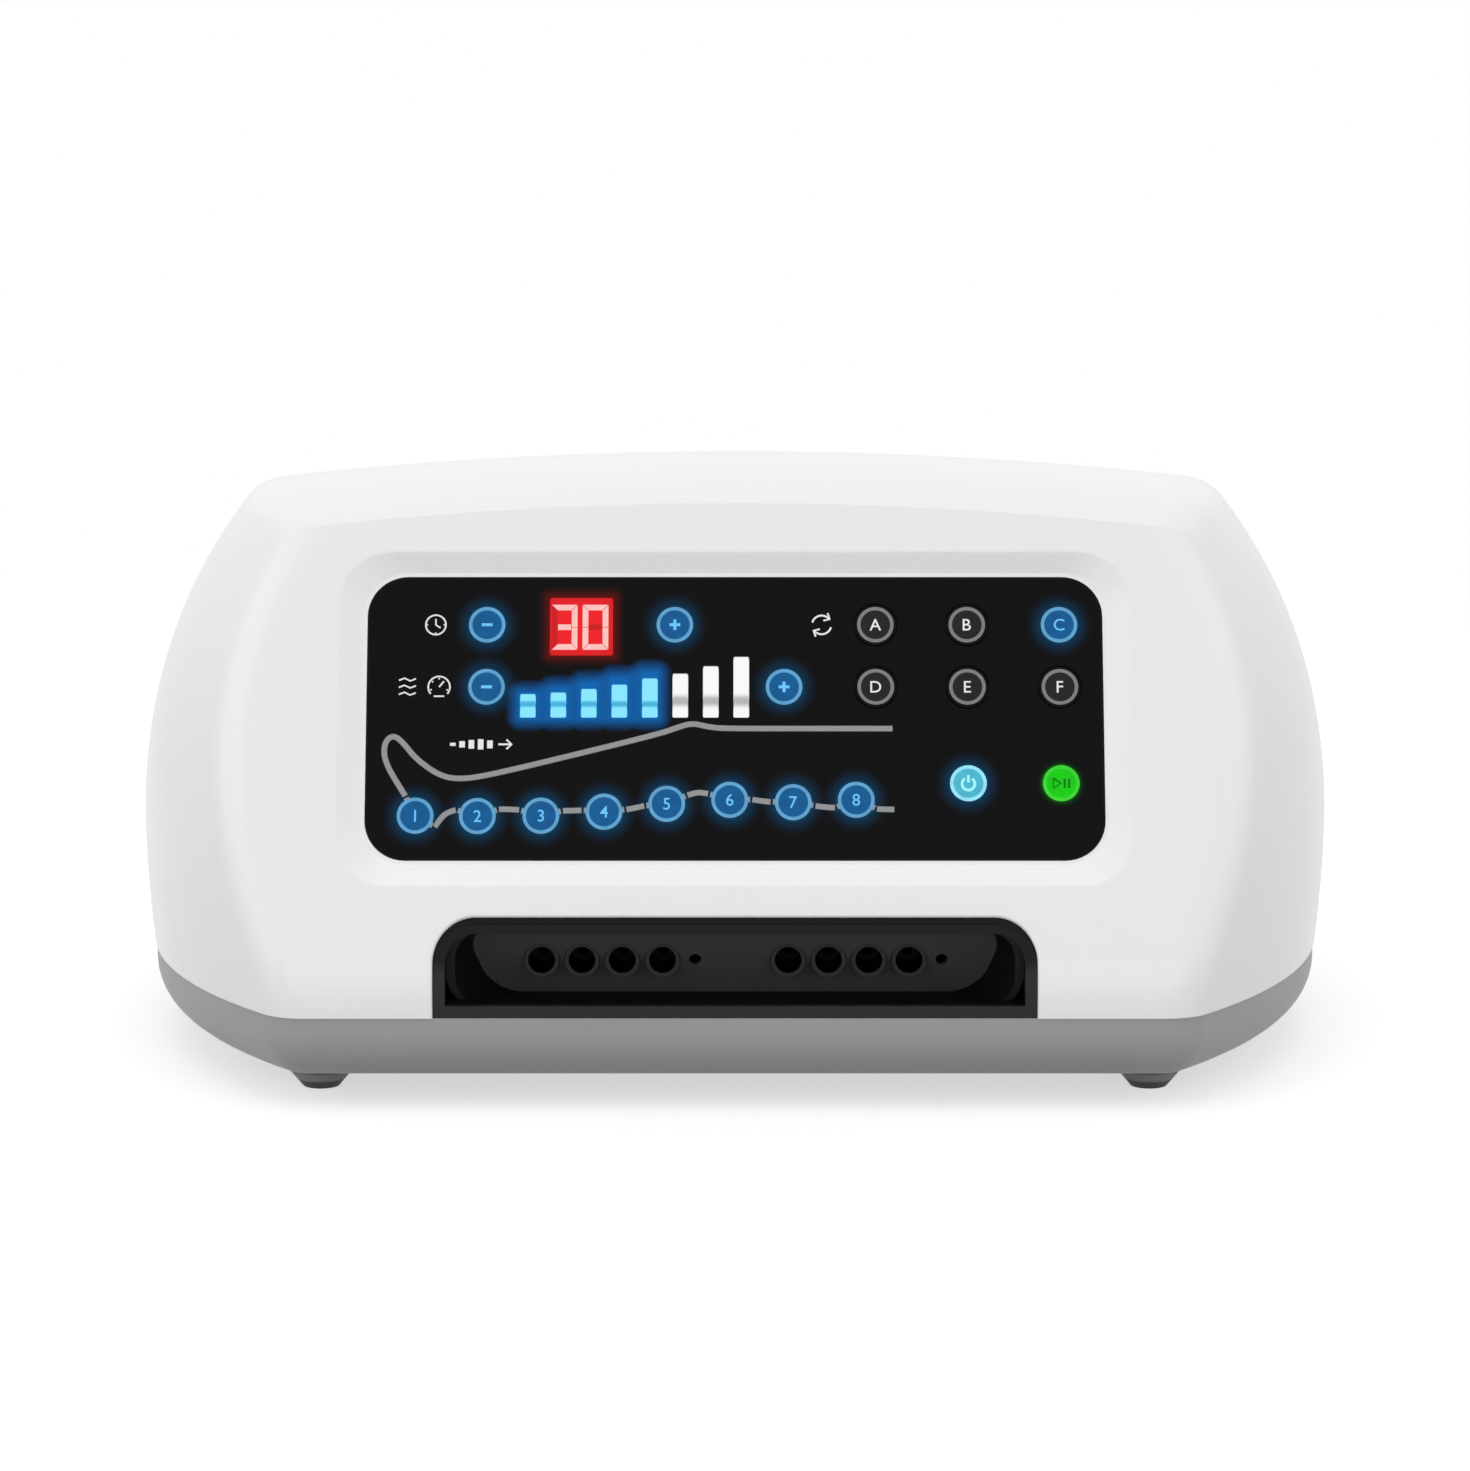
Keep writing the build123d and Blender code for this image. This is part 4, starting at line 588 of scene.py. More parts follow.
# %% The glow group
lit_surround, given, end = new_group(
    "lit_surround",
    [("Vector", VECTOR, (0, 0, 0)), ("Centre", VECTOR, (0, 0, 0)),
     ("Half Width", FLOAT, 0.0), ("Half Height", FLOAT, 0.0),
     ("Radius", FLOAT, 0.0045), ("Reach", FLOAT, 0.003), ("Falloff", FLOAT, 2.0)],
    [("Glow", FLOAT)])
from_centre = add_node(lit_surround, "ShaderNodeVectorMath",
                       {0: given["Vector"], 1: given["Centre"]}, operation="SUBTRACT")
outside = []
for axis, half in ((FACE_RIGHT, "Half Width"), (FACE_UP, "Half Height")):
    aside = measure(lit_surround, "DOT_PRODUCT", from_centre.outputs[0], tuple(axis))
    beyond = calc(lit_surround, "SUBTRACT", calc(lit_surround, "ABSOLUTE", aside), given[half])
    outside.append(calc(lit_surround, "MAXIMUM", beyond, 0.0))
squares = [calc(lit_surround, "POWER", side, 2.0) for side in outside]
gap = calc(lit_surround, "SQRT", calc(lit_surround, "ADD", *squares))
past_rim = calc(lit_surround, "SUBTRACT", gap, given["Radius"])
share = calc(lit_surround, "DIVIDE", past_rim, given["Reach"], clamp=True)
rest = calc(lit_surround, "SUBTRACT", 1.0, share)
hand_out(lit_surround, end, Glow=calc(lit_surround, "POWER", rest, given["Falloff"]))


def glow_round(tree, place, u, v, half_width, half_height, radius, reach, falloff=2.0):
    """The glow round a lit shape at u, v on the panel; all sizes in millimetres."""
    node = add_node(tree, "ShaderNodeGroup",
                    {"Vector": place, "Centre": tuple(face_point(u, v)),
                     "Half Width": half_width * MM, "Half Height": half_height * MM,
                     "Radius": radius * MM, "Reach": reach * MM, "Falloff": falloff},
                    node_tree=lit_surround)
    return node.outputs["Glow"]


def together(tree, glows):
    """Several glows added up at each point, and no more than one full glow."""
    total = glows[0]
    for glow in glows[1:]:
        total = calc(tree, "ADD", total, glow, clamp=True)
    return total


# %% Where the lights are
RING_RADIUS = 4.55
BAR_WIDTH = 3.6
BAR_PITCH = 7.58
BAR_FIRST = -51.5
BAR_FOOT = 0.25
SHORT_BAR, TALL_BAR = 5.8, 15.3
BAR_HEIGHTS = [SHORT_BAR + (TALL_BAR - SHORT_BAR) * step / 7 for step in range(8)]
LIT_BARS = 5
DISPLAY_AT = (-38.3, 23.4)
DISPLAY_HALF = (7.85, 7.3)
RING_GLOW, START_GLOW, BAR_GLOW, DISPLAY_GLOW = 4.2, 1.6, 3.9, 3.4
BAR_FALLOFF = 1.3

BLUE_KEYS = ["time_down_key", "time_up_key", "pressure_down_key", "pressure_up_key",
             "mode_c_key"] + [f"chamber_{n}_key" for n in range(1, 9)]
print("lit blue:", len(BLUE_KEYS), "keys and", LIT_BARS, "bars of", len(BAR_HEIGHTS))

# %% Black panel with its glow
PANEL_ROUGHNESS, PANEL_DRIFT = 0.16, 0.05

material, tree, place = new_material("black_fascia")
skin = add_node(tree, "ShaderNodeGroup",
                {"Vector": place, "Grain per Metre": 900.0, "Tone Spread": 0.2},
                node_tree=moulded_skin)
rings = together(tree, [
    glow_round(tree, place, *key_place[key][:2], 0, 0, RING_RADIUS, RING_GLOW)
    for key in BLUE_KEYS + ["power_key"]])
start_glow = glow_round(tree, place, *key_place["start_pause_key"][:2], 0, 0, RING_RADIUS,
                        START_GLOW)
bar_glows = []
for step in range(LIT_BARS):
    half = BAR_HEIGHTS[step] / 2
    bar_glows.append(glow_round(tree, place, BAR_FIRST + BAR_PITCH * step, BAR_FOOT + half,
                                BAR_WIDTH / 2, half, 0, BAR_GLOW, BAR_FALLOFF))
display_glow = glow_round(tree, place, *DISPLAY_AT, *DISPLAY_HALF, 0, DISPLAY_GLOW)
light = scaled(tree, tone("023350"), rings)
for glow, code in ((together(tree, bar_glows), "0062ae"), (display_glow, "5c0503"),
                   (start_glow, "024a05")):
    light = mixed(tree, 1.0, light, scaled(tree, tone(code), glow), how="ADD")
drift = calc(tree, "MULTIPLY", skin.outputs["Drift"], PANEL_DRIFT)
shaded(tree, Base_Color=scaled(tree, tone("0a0a0b"), skin.outputs["Tone"]),
       Roughness=calc(tree, "ADD", drift, PANEL_ROUGHNESS),
       Specular_IOR_Level=0.12, Emission_Color=light, Emission_Strength=1.0,
       Normal=raised(tree, skin.outputs["Height"], 8e-7))
paints["black_fascia"] = paints["key_cap"] = material

# %% [markdown]
# ## Lit and printed colours
#
# A lit ring is a translucent moulding with a lamp behind it: its colour comes mostly from
# emission, uneven by a few percent where the lamp sits. Unlit legends are screen-printed,
# so they take light like any surface and have the slightly broken cover of ink; a third of
# their colour is a painted glow on top, which keeps them bright.

# %% Lit and printed materials
UNLIT = (0.004, 0.004, 0.004, 1)
SPOTS_PER_METRE = 350.0
INK_PER_METRE = 4000.0
# the share of the ink's colour given as a painted glow
OWN_LIGHT = 0.35


def lit(name, code, unevenness=0.10):
    """A light guide: emission that varies a little from the lamp behind it."""
    material, tree, place = new_material(name)
    spots = add_node(tree, "ShaderNodeTexNoise", {"Vector": place, "Scale": SPOTS_PER_METRE})
    level = fade(tree, spots.outputs[0], NOISE_LOW, NOISE_HIGH,
                 1 - unevenness, 1 + unevenness / 2)
    shaded(tree, Base_Color=UNLIT, Roughness=0.30, Specular_IOR_Level=0.12,
           Emission_Color=scaled(tree, tone(code), level), Emission_Strength=1.0)
    return material


def printed(name, code):
    """Screen-printed ink with a faint painted glow, as if lit from behind."""
    material, tree, place = new_material(name)
    cover = add_node(tree, "ShaderNodeTexNoise", {"Vector": place, "Scale": INK_PER_METRE})
    level = fade(tree, cover.outputs[0], NOISE_LOW, NOISE_HIGH, 0.88, 1.0)
    ink = scaled(tree, tone(code), level)
    shaded(tree, Base_Color=scaled(tree, ink, 1 - OWN_LIGHT), Roughness=0.45,
           Emission_Color=scaled(tree, ink, OWN_LIGHT), Emission_Strength=1.0)
    return material


blue_ring = lit("blue_ring", "5fa3d0")
blue_fill = lit("blue_fill", "0a5a92")
blue_sign = lit("blue_sign", "6cc6ff", 0.04)
cyan_ring = lit("cyan_ring", "96e8fb")
cyan_fill = lit("cyan_fill", "4fb9d2")
cyan_sign = lit("cyan_sign", "a6f6ff", 0.04)
green_ring = lit("green_ring", "3cd834")
green_fill = lit("green_fill", "10cc06")
green_sign = lit("green_sign", "067a04", 0.04)
dark_ring = printed("dark_ring", "7a7a7a")
dark_fill = plastic("dark_fill", "161617", 0.30, 900, 1e-6, Specular_IOR_Level=0.30)
white_ink = printed("white_ink", "eeeeee")
grey_ink = printed("grey_ink", "909293")
digit_light = lit("digit_light", "ffc4c0", 0.06)
digit_off = lit("digit_off", "cc161c", 0.06)
print("lit rings:", blue_ring.name, cyan_ring.name, green_ring.name)

# %% [markdown]
# ## Display pane and bars
#
# The time shows through a red pane that its lamp lights best in the middle, and each of the
# eight bars is a light guide with a band across it where its own lamp sits. Both could be
# painted on an unwrapped surface. Here the distance from the lamp, or the height above the
# foot of a bar, gives the pattern directly, and no unwrapping is needed.

# %% Display pane
PANE_LAMP_HALF = (3.0, 2.5)
PANE_LAMP_REACH = 9.0
PANE_LEVELS = (0.78, 1.0)

material, tree, place = new_material("red_window")
inner = glow_round(tree, place, *DISPLAY_AT, *PANE_LAMP_HALF, 0, PANE_LAMP_REACH)
level = fade(tree, inner, 0.0, 0.6, *PANE_LEVELS)
shaded(tree, Base_Color=(0.02, 0.0, 0.0, 1), Roughness=0.2, Specular_IOR_Level=0.15,
       Emission_Color=scaled(tree, tone("ea2228"), level), Emission_Strength=1.0)
paints["red_window"] = paints["red_display"] = material

# %% Light bars
BLUE_BAND, WHITE_BAND = (3.3, 1.1), (4.1, 2.2)  # height above the foot, reach up and down
BAND_CORE = 0.3
BAR_PAINT, BAR_LIGHT = 0.12, 0.90

material, tree, place = new_material("light_guides")
white_from = (BAR_FIRST + BAR_PITCH * (LIT_BARS - 0.5)) * MM
is_white = fade(tree, coordinate(tree, place, "X"), white_from - MM, white_from + MM,
                smooth=False)
above_foot = calc(tree, "SUBTRACT", measure(tree, "DOT_PRODUCT", place, tuple(FACE_UP)),
                  FACE_MIDDLE + BAR_FOOT * MM)
bands = []
for middle, reach in (BLUE_BAND, WHITE_BAND):
    off = calc(tree, "ABSOLUTE", calc(tree, "SUBTRACT", above_foot, middle * MM))
    bands.append(fade(tree, off, BAND_CORE * MM, reach * MM, 1.0, 0.0))
blue_bar = mixed(tree, bands[0], tone("86e4ff"), tone("3fb0da"))
white_bar = mixed(tree, bands[1], tone("f6f5f5"), tone("b0b2b3"))
bar = mixed(tree, is_white, blue_bar, white_bar)
shaded(tree, Base_Color=scaled(tree, bar, BAR_PAINT), Roughness=0.35,
       Specular_IOR_Level=0.30, Emission_Color=scaled(tree, bar, BAR_LIGHT),
       Emission_Strength=1.0)
paints["light_guides"] = material

# %% [markdown]
# ## Painting the CAD parts
#
# The record says which finish each part takes. A part could be painted one by one, but the
# finishes are named after those slots, so one loop paints all of them and none is forgotten.

# %% Every CAD node gets the finish of its slot
slot_of = {row["node"]: row["material_slot"] for row in record["subparts"]}
for name, node in nodes.items():
    finish = paints[slot_of[name]]
    if not node.material_slots:
        node.data.materials.append(finish)
    for holder in node.material_slots:
        holder.material = finish
print("nodes painted:", len(nodes))

# %% [markdown]
# ## The lens of a key
#
# On each key cap sits a thin round moulding: a ring that lights up, and inside it a face a
# few hundredths of a millimetre lower that carries the sign. One is modelled by hand: a
# filled circle is extruded, its top is inset to leave the ring, the middle is pushed down,
# and the edges get a small bevel. All twenty are copies, each with a mesh of its own. They
# could share one mesh, but each is pressed alone, so none depends on another.

# %% One lens
LENS_RISE = 0.10
LENS_DIP = 0.05
LENS_EDGE = 0.02
RING_WIDTH = 0.85
ROUND_STEPS = 72
EDGE_ANGLE = math.radians(30)


def edit(piece):
    """Opens a piece in edit mode with all of it selected."""
    pick(piece)
    bpy.ops.object.mode_set(mode="EDIT")
    bpy.ops.mesh.select_all(action="SELECT")


def leave_edit():
    """Goes back to object mode, which writes the edits into the mesh."""
    bpy.ops.object.mode_set(mode="OBJECT")


def soften(piece, width):
    """Rounds the sharp edges of a piece with an applied Bevel modifier."""
    pick(piece)
    bevel = piece.modifiers.new("edge", "BEVEL")
    bevel.width = width
    bevel.segments = 2
    bevel.limit_method = "ANGLE"
    bevel.angle_limit = EDGE_ANGLE
    bpy.ops.object.modifier_apply(modifier=bevel.name)
    bpy.ops.object.shade_smooth_by_angle(angle=EDGE_ANGLE)


clear_selection()
bpy.ops.mesh.primitive_circle_add(vertices=ROUND_STEPS, radius=RING_RADIUS, fill_type="NGON")
lens = bpy.context.object
lens.data.materials.append(dark_ring)
lens.data.materials.append(dark_fill)
edit(lens)
bpy.ops.mesh.extrude_region_move(TRANSFORM_OT_translate={"value": (0, 0, LENS_RISE)})
bpy.ops.mesh.inset(thickness=RING_WIDTH)
bpy.ops.transform.translate(value=(0, 0, -LENS_DIP))
lens.active_material_index = 1
bpy.ops.object.material_slot_assign()
bpy.ops.mesh.select_all(action="SELECT")
bpy.ops.mesh.normals_make_consistent(inside=False)
leave_edit()
soften(lens, LENS_EDGE)
print("lens:", len(lens.data.vertices), "vertices,",
      [len([f for f in lens.data.polygons if f.material_index == n]) for n in (0, 1)], "faces")

# %% Twenty lenses
LOOKS = {name: (dark_ring, dark_fill, white_ink) for name in KEY_NODES}
LOOKS.update({name: (blue_ring, blue_fill, blue_sign) for name in BLUE_KEYS})
LOOKS["power_key"] = (cyan_ring, cyan_fill, cyan_sign)
LOOKS["start_pause_key"] = (green_ring, green_fill, green_sign)
SIGN_LIFT = LENS_RISE - LENS_DIP

for name in KEY_NODES:
    ring_paint, fill_paint = LOOKS[name][:2]
    u, v, lift = key_place[name]
    piece = own_copy(lens)
    settle(piece, face_place(u, v, lift))
    hand_over(piece, name.replace("_key", "_lens"), name, "key_cap", ring_paint, fill_paint)
bpy.data.objects.remove(lens)
print("lenses:", len(KEY_NODES))

# %% [markdown]
# ## Signs, letters and numbers
#
# Letters and numbers start as text objects and become meshes before they are placed. The
# plus, minus, power and play signs are strokes: a round curve along a few points, made a
# mesh and pressed flat, so each line keeps soft edges and stands a hair above the surface.

# %% Letters and strokes
INK_HEIGHT = 0.07
CAPITAL_SHARE = 0.729  # how tall a capital of Blender's own font is, next to its text size


def letter(character, height, weight):
    """A letter or number in millimetres, centred, as a mesh with a little thickness."""
    clear_selection()
    bpy.ops.object.text_add()
    text = bpy.context.object
    text.data.body = character
    text.data.size = height / CAPITAL_SHARE
    text.data.align_x = "CENTER"
    text.data.offset = weight
    text.data.extrude = INK_HEIGHT / 2
    text.data.resolution_u = 4
    bpy.ops.object.convert(target="MESH")
    mesh_piece = bpy.context.object
    low = [min(vertex.co[i] for vertex in mesh_piece.data.vertices) for i in (0, 1)]
    high = [max(vertex.co[i] for vertex in mesh_piece.data.vertices) for i in (0, 1)]
    middle = Vector((-(low[0] + high[0]) / 2, -(low[1] + high[1]) / 2, 0))
    settle(mesh_piece, Matrix.Translation(middle))
    return mesh_piece


def strokes(lines, width, smooth=False):
    """Printed lines of one width along lists of points, joined in one flat mesh."""
    clear_selection()
    bpy.ops.curve.primitive_nurbs_path_add()
    path = bpy.context.object
    path.data.splines.clear()
    for points in lines:
        spline = path.data.splines.new("NURBS" if smooth else "POLY")
        spline.points.add(len(points) - 1)
        for control, (x, y) in zip(spline.points, points):
            control.co = (x, y, 0, 1)
        if smooth:
            spline.order_u = 3
            spline.use_endpoint_u = True
            spline.resolution_u = 8
    path.data.bevel_depth = width / 2
    path.data.bevel_resolution = 2
    path.data.use_fill_caps = True
    bpy.ops.object.convert(target="MESH")
    line = bpy.context.object
    edit(line)
    bpy.ops.transform.resize(value=(1, 1, INK_HEIGHT / width))
    leave_edit()
    return line


def arc(radius, start, stop, y=0.0, steps=14):
    """Points on an arc round 0, y; the angles are in degrees from the right."""
    turn = [math.radians(start + (stop - start) * n / steps) for n in range(steps + 1)]
    return [(radius * math.cos(a), y + radius * math.sin(a)) for a in turn]


# %% Which sign goes on which key
LETTER_HEIGHT, LETTER_WEIGHT = 3.1, 0.02
PLUS_HALF, PLUS_LINE = 1.35, 0.75
POWER_LINE, PLAY_LINE = 0.70, 0.62


def sign_for(name):
    """Draws the sign of a key, centred on the origin, in millimetres."""
    level = [(-PLUS_HALF, 0), (PLUS_HALF, 0)]
    if "_down_" in name:
        return strokes([level], PLUS_LINE)
    if "_up_" in name:
        return strokes([level, [(0, -PLUS_HALF), (0, PLUS_HALF)]], PLUS_LINE)
    if name == "power_key":
        return strokes([arc(1.6, 125, 415, y=-0.15), [(0, 0.15), (0, 2.1)]], POWER_LINE)
    if name == "start_pause_key":
        play = [(-2.0, 1.25), (-0.1, 0), (-2.0, -1.25), (-2.0, 1.25), (-1.0, 0.6)]
        pause = [[(x, -1.2), (x, 1.2)] for x in (0.85, 1.95)]
        return strokes([play, *pause], PLAY_LINE)
    return letter(name.split("_")[1].upper(), LETTER_HEIGHT, LETTER_WEIGHT)


for name in KEY_NODES:
    u, v, lift = key_place[name]
    sign = sign_for(name)
    settle(sign, face_place(u, v, lift + SIGN_LIFT))
    hand_over(sign, name.replace("_key", "_sign"), name, "key_cap", LOOKS[name][2])
print("signs:", len(KEY_NODES))

# %% [markdown]
# ## The time display
#
# A digit of seven bars is drawn as its maker would: a plain rectangle is inset, which leaves
# a frame with mitred corners, the tall sides are cut in half, and a middle bar is added.
# Every bar is then inset by a hair and its rim is thrown away, which opens the fine gaps
# between them. The lit bars shine pale pink, the unlit ones stay just darker than the pane.

# %% Seven bars per digit
DIGIT_W, DIGIT_H = 6.6, 11.7
SEGMENT_W = 1.60
SEGMENT_GAP = 0.16
DIGITS = {"time_tens": (-42.5, 23.2, "abcdg"), "time_units": (-34.8, 23.2, "abcdef")}
SEGMENT_AT = {"a": (0, 1), "b": (1, 0.5), "c": (1, -0.5), "d": (0, -1), "e": (-1, -0.5),
              "f": (-1, 0.5), "g": (0, 0)}


def plain_digit():
    """All seven bars of a digit, flat and centred, in millimetres."""
    clear_selection()
    bpy.ops.mesh.primitive_plane_add(size=1)
    digit = bpy.context.object
    edit(digit)
    bpy.ops.transform.resize(value=(DIGIT_W, DIGIT_H, 1))
    bpy.ops.mesh.inset(thickness=SEGMENT_W)
    bpy.ops.mesh.delete(type="FACE")
    bpy.ops.mesh.select_all(action="SELECT")
    bpy.ops.mesh.bisect(plane_co=(0, 0, 0), plane_no=(0, 1, 0))
    bpy.ops.mesh.select_all(action="DESELECT")
    bpy.ops.mesh.primitive_plane_add(size=1)
    bpy.ops.transform.resize(value=(DIGIT_W - 2 * SEGMENT_W, SEGMENT_W, 1))
    bpy.ops.mesh.select_all(action="SELECT")
    bpy.ops.mesh.select_mode(type="FACE")
    bpy.ops.mesh.inset(thickness=SEGMENT_GAP / 2, use_individual=True)
    bpy.ops.mesh.select_all(action="INVERT")
    bpy.ops.mesh.delete(type="FACE")
    bpy.ops.mesh.select_all(action="SELECT")
    leave_edit()
    return digit


def light_up(digit, lit_bars):
    """Paints each bar as lit or off by where it lies in the digit."""
    for face in digit.data.polygons:
        x, y, _ = face.center
        place = (round(2 * x / DIGIT_W), round(4 * y / DIGIT_H) / 2)
        label = next(name for name, at in SEGMENT_AT.items() if at == place)
        face.material_index = 0 if label in lit_bars else 1


for name, (u, v, lit_bars) in DIGITS.items():
    digit = plain_digit()
    digit.data.materials.append(digit_light)
    digit.data.materials.append(digit_off)
    light_up(digit, lit_bars)
    edit(digit)
    bpy.ops.mesh.extrude_region_move(TRANSFORM_OT_translate={"value": (0, 0, INK_HEIGHT / 2)})
    bpy.ops.mesh.select_all(action="SELECT")
    bpy.ops.mesh.normals_make_consistent(inside=False)
    leave_edit()
    settle(digit, face_place(u, v, 0.0))
    hand_over(digit, name, "root", "red_display", digit_light, digit_off)
print("digits:", list(DIGITS))

# %% [markdown]
# ## The leg line
#
# A plain grey line shows a leg from the side, and the eight chamber keys sit along its
# underside. It is printed on the fixed panel up to the rim of each hole, and goes on as two
# short stubs on the cap itself. A print across the gap would tear when the key is pressed,
# so the stubs are pieces of their own that ride with the key.

# %% Leg contour
LEG_LINE = 1.45
CAP_EDGE, HOLE_EDGE = 5.02, 5.60
upper_leg = [(39.1, -2.7), (18.0, -2.7), (-2.6, -2.7), (-6.5, -2.3), (-10.6, -1.3),
             (-14.0, -2.3), (-18.6, -4.0), (-40.0, -9.4), (-60.8, -14.5), (-68.1, -15.6),
             (-73.2, -14.7), (-79.1, -10.4), (-82.3, -6.3), (-84.6, -4.4), (-86.6, -5.6),
             (-87.2, -8.9), (-86.0, -12.6), (-83.6, -16.6), (-81.7, -19.6)]
under_leg = [
    [(-74.2, -27.6), (-72.9, -25.6), (-71.2, -23.9), (-69.2, -23.3)],
    [(-58.2, -23.1), (-55.8, -23.1), (-53.5, -23.3)],
    [(-42.4, -23.5), (-40.2, -23.5), (-38.1, -23.4)],
    [(-26.7, -23.2), (-24.5, -22.8), (-22.6, -22.3)],
    [(-11.5, -19.5), (-9.9, -19.0), (-8.3, -18.9), (-6.8, -19.2)],
    [(4.4, -20.7), (6.5, -21.1), (8.7, -21.3)],
    [(20.0, -22.3), (22.4, -22.7), (24.6, -22.8)],
    [(35.2, -23.1), (37.2, -23.2), (39.4, -23.2)]]
leg_lines = [upper_leg] + under_leg
for number in range(1, 9):
    name = f"chamber_{number}_key"
    u, v, lift = key_place[name]
    stubs = []
    for line, end in ((leg_lines[number - 1], -1), (leg_lines[number], 0)):
        way = (Vector(line[end]) - Vector((u, v))).normalized()
        line[end] = (u + way.x * HOLE_EDGE, v + way.y * HOLE_EDGE)
        stubs.append([tuple(way * RING_RADIUS), tuple(way * CAP_EDGE)])
    stub = strokes(stubs, LEG_LINE)
    settle(stub, face_place(u, v, lift))
    hand_over(stub, f"chamber_{number}_line", name, "key_cap", grey_ink)
leg = strokes(leg_lines, LEG_LINE, smooth=True)
settle(leg, face_place(0, 0, 0))
hand_over(leg, "leg_contour", "root", "black_fascia", grey_ink)
print("leg contour:", len(leg.data.polygons), "faces, stubs on", number, "keys")

# %% [markdown]
# ## Pictures instead of words
#
# Small pictures name the rows: a clock for the time, a gauge with air lines for the
# pressure, two turning arrows for the mode, and a chain of chambers for the position.

# %% Clock, gauge, arrows and chambers
THIN_LINE, ARROW_LINE, CHAMBER_LINE = 0.42, 0.50, 1.45
TICK_FROM = 1.95
clock = [arc(2.5, 0, 360, steps=32), [(0, 1.5), (0, 0), (1.15, -0.75)]]
clock += [[(x * TICK_FROM, y * TICK_FROM), (x * 2.2, y * 2.2)]
          for x, y in ((1, 0), (-1, 0), (0, -1))]
gauge = [arc(2.7, -40, 220, steps=28), [(0, 0), (1.2, 1.45)],
         [(-1.3, -2.35), (1.3, -2.35)]]
gauge += [[(x * TICK_FROM, y * TICK_FROM), (x * 2.3, y * 2.3)]
          for x, y in ((0.94, -0.34), (0, 1), (-0.94, -0.34), (-0.77, 0.64))]
air = [[(-10.0, y - 0.2), (-8.6, y + 0.35), (-7.2, y - 0.35), (-5.8, y + 0.2)]
       for y in (1.9, 0.1, -1.7)]
turning = []
for spin in (0, 180):
    a = math.radians(spin)
    head = [(1.5, 3.0), (2.05, 1.45), (0.45, 1.1)]
    turning.append(arc(2.4, 165 + spin, 38 + spin, steps=12))
    turning.append([(x * math.cos(a) - y * math.sin(a), x * math.sin(a) + y * math.cos(a))
                    for x, y in head])
chambers = [[(x, -half), (x, half)] for x, half in ((-7.4, 0.4), (-5.1, 0.8), (-2.8, 1.1),
                                                    (-0.5, 1.3), (1.8, 1.0))]
arrow = [[(3.9, 0), (7.2, 0)], [(5.9, 1.2), (7.2, 0), (5.9, -1.2)]]

PICTURES = {  # name: (u, v, lines, width)
    "clock_picture": (-74.6, 23.8, clock, THIN_LINE),
    "gauge_picture": (-73.6, 7.9, gauge, THIN_LINE),
    "air_picture": (-73.6, 7.9, air, THIN_LINE),
    "turning_picture": (21.6, 23.8, turning, ARROW_LINE),
    "chamber_picture": (-62.6, -6.7, chambers, CHAMBER_LINE),
    "arrow_picture": (-62.6, -6.7, arrow, ARROW_LINE)}
for name, (u, v, lines, width) in PICTURES.items():
    picture = strokes(lines, width)
    settle(picture, face_place(u, v, 0))
    hand_over(picture, name, "root", "black_fascia", white_ink)
print("pictures:", list(PICTURES))

# %% [markdown]
# ## Cross recesses in the screws
#
# The CAD screws have plain heads. A driver needs a cross, so a copy of each screw node is
# welded, and one tapered cross per head is cut out of it with a Boolean. The cutter starts as
# a grid of nine squares: the corners are deleted, the cross is extruded down and its lower
# end is drawn together, just as the tip of a driver narrows.

# %% The cutter
CROSS_SPAN = 3.2
CROSS_DEPTH = 1.1
CROSS_TAPER = 0.55
CUT_ABOVE = 0.3


def cross_cutter():
    """A tapered cross, point down, its wide end just above the head's face, in mm."""
    clear_selection()
    bpy.ops.mesh.primitive_grid_add(x_subdivisions=3, y_subdivisions=3, size=CROSS_SPAN)
    cutter = bpy.context.object
    for face in cutter.data.polygons:
        face.select = abs(face.center.x) > 0.1 and abs(face.center.y) > 0.1
    bpy.ops.object.mode_set(mode="EDIT")
    bpy.ops.mesh.select_mode(type="FACE")
    bpy.ops.mesh.delete(type="FACE")
    bpy.ops.mesh.select_all(action="SELECT")
    bpy.ops.transform.translate(value=(0, 0, CUT_ABOVE))
    bpy.ops.mesh.extrude_region_move(
        TRANSFORM_OT_translate={"value": (0, 0, -CROSS_DEPTH - CUT_ABOVE)})
    bpy.ops.transform.resize(value=(CROSS_TAPER, CROSS_TAPER, 1))
    bpy.ops.mesh.select_all(action="SELECT")
    bpy.ops.mesh.normals_make_consistent(inside=False)
    leave_edit()
    return cutter


# %% Where each head is
WELD = 1e-6
SAME_SIZE = 1e-4
RIM_DEPTH = 2e-5


def welded_copy(node_name):
    """A copy of a CAD node with its loose triangles merged, and its own mesh."""
    piece = own_copy(nodes[node_name])
    piece.parent = None
    piece.matrix_world = Matrix()
    edit(piece)
    bpy.ops.mesh.remove_doubles(threshold=WELD)
    leave_edit()
    return piece


def loose_parts(mesh):
    """Lists of vertex places, one for each separate part of a mesh."""
    owner = list(range(len(mesh.vertices)))

    def root(index):
        while owner[index] != index:
            owner[index] = owner[owner[index]]
            index = owner[index]
        return index

    for edge in mesh.edges:
        owner[root(edge.vertices[0])] = root(edge.vertices[1])
    parts = {}
    for vertex in mesh.vertices:
        parts.setdefault(root(vertex.index), []).append(vertex.co)
    return list(parts.values())


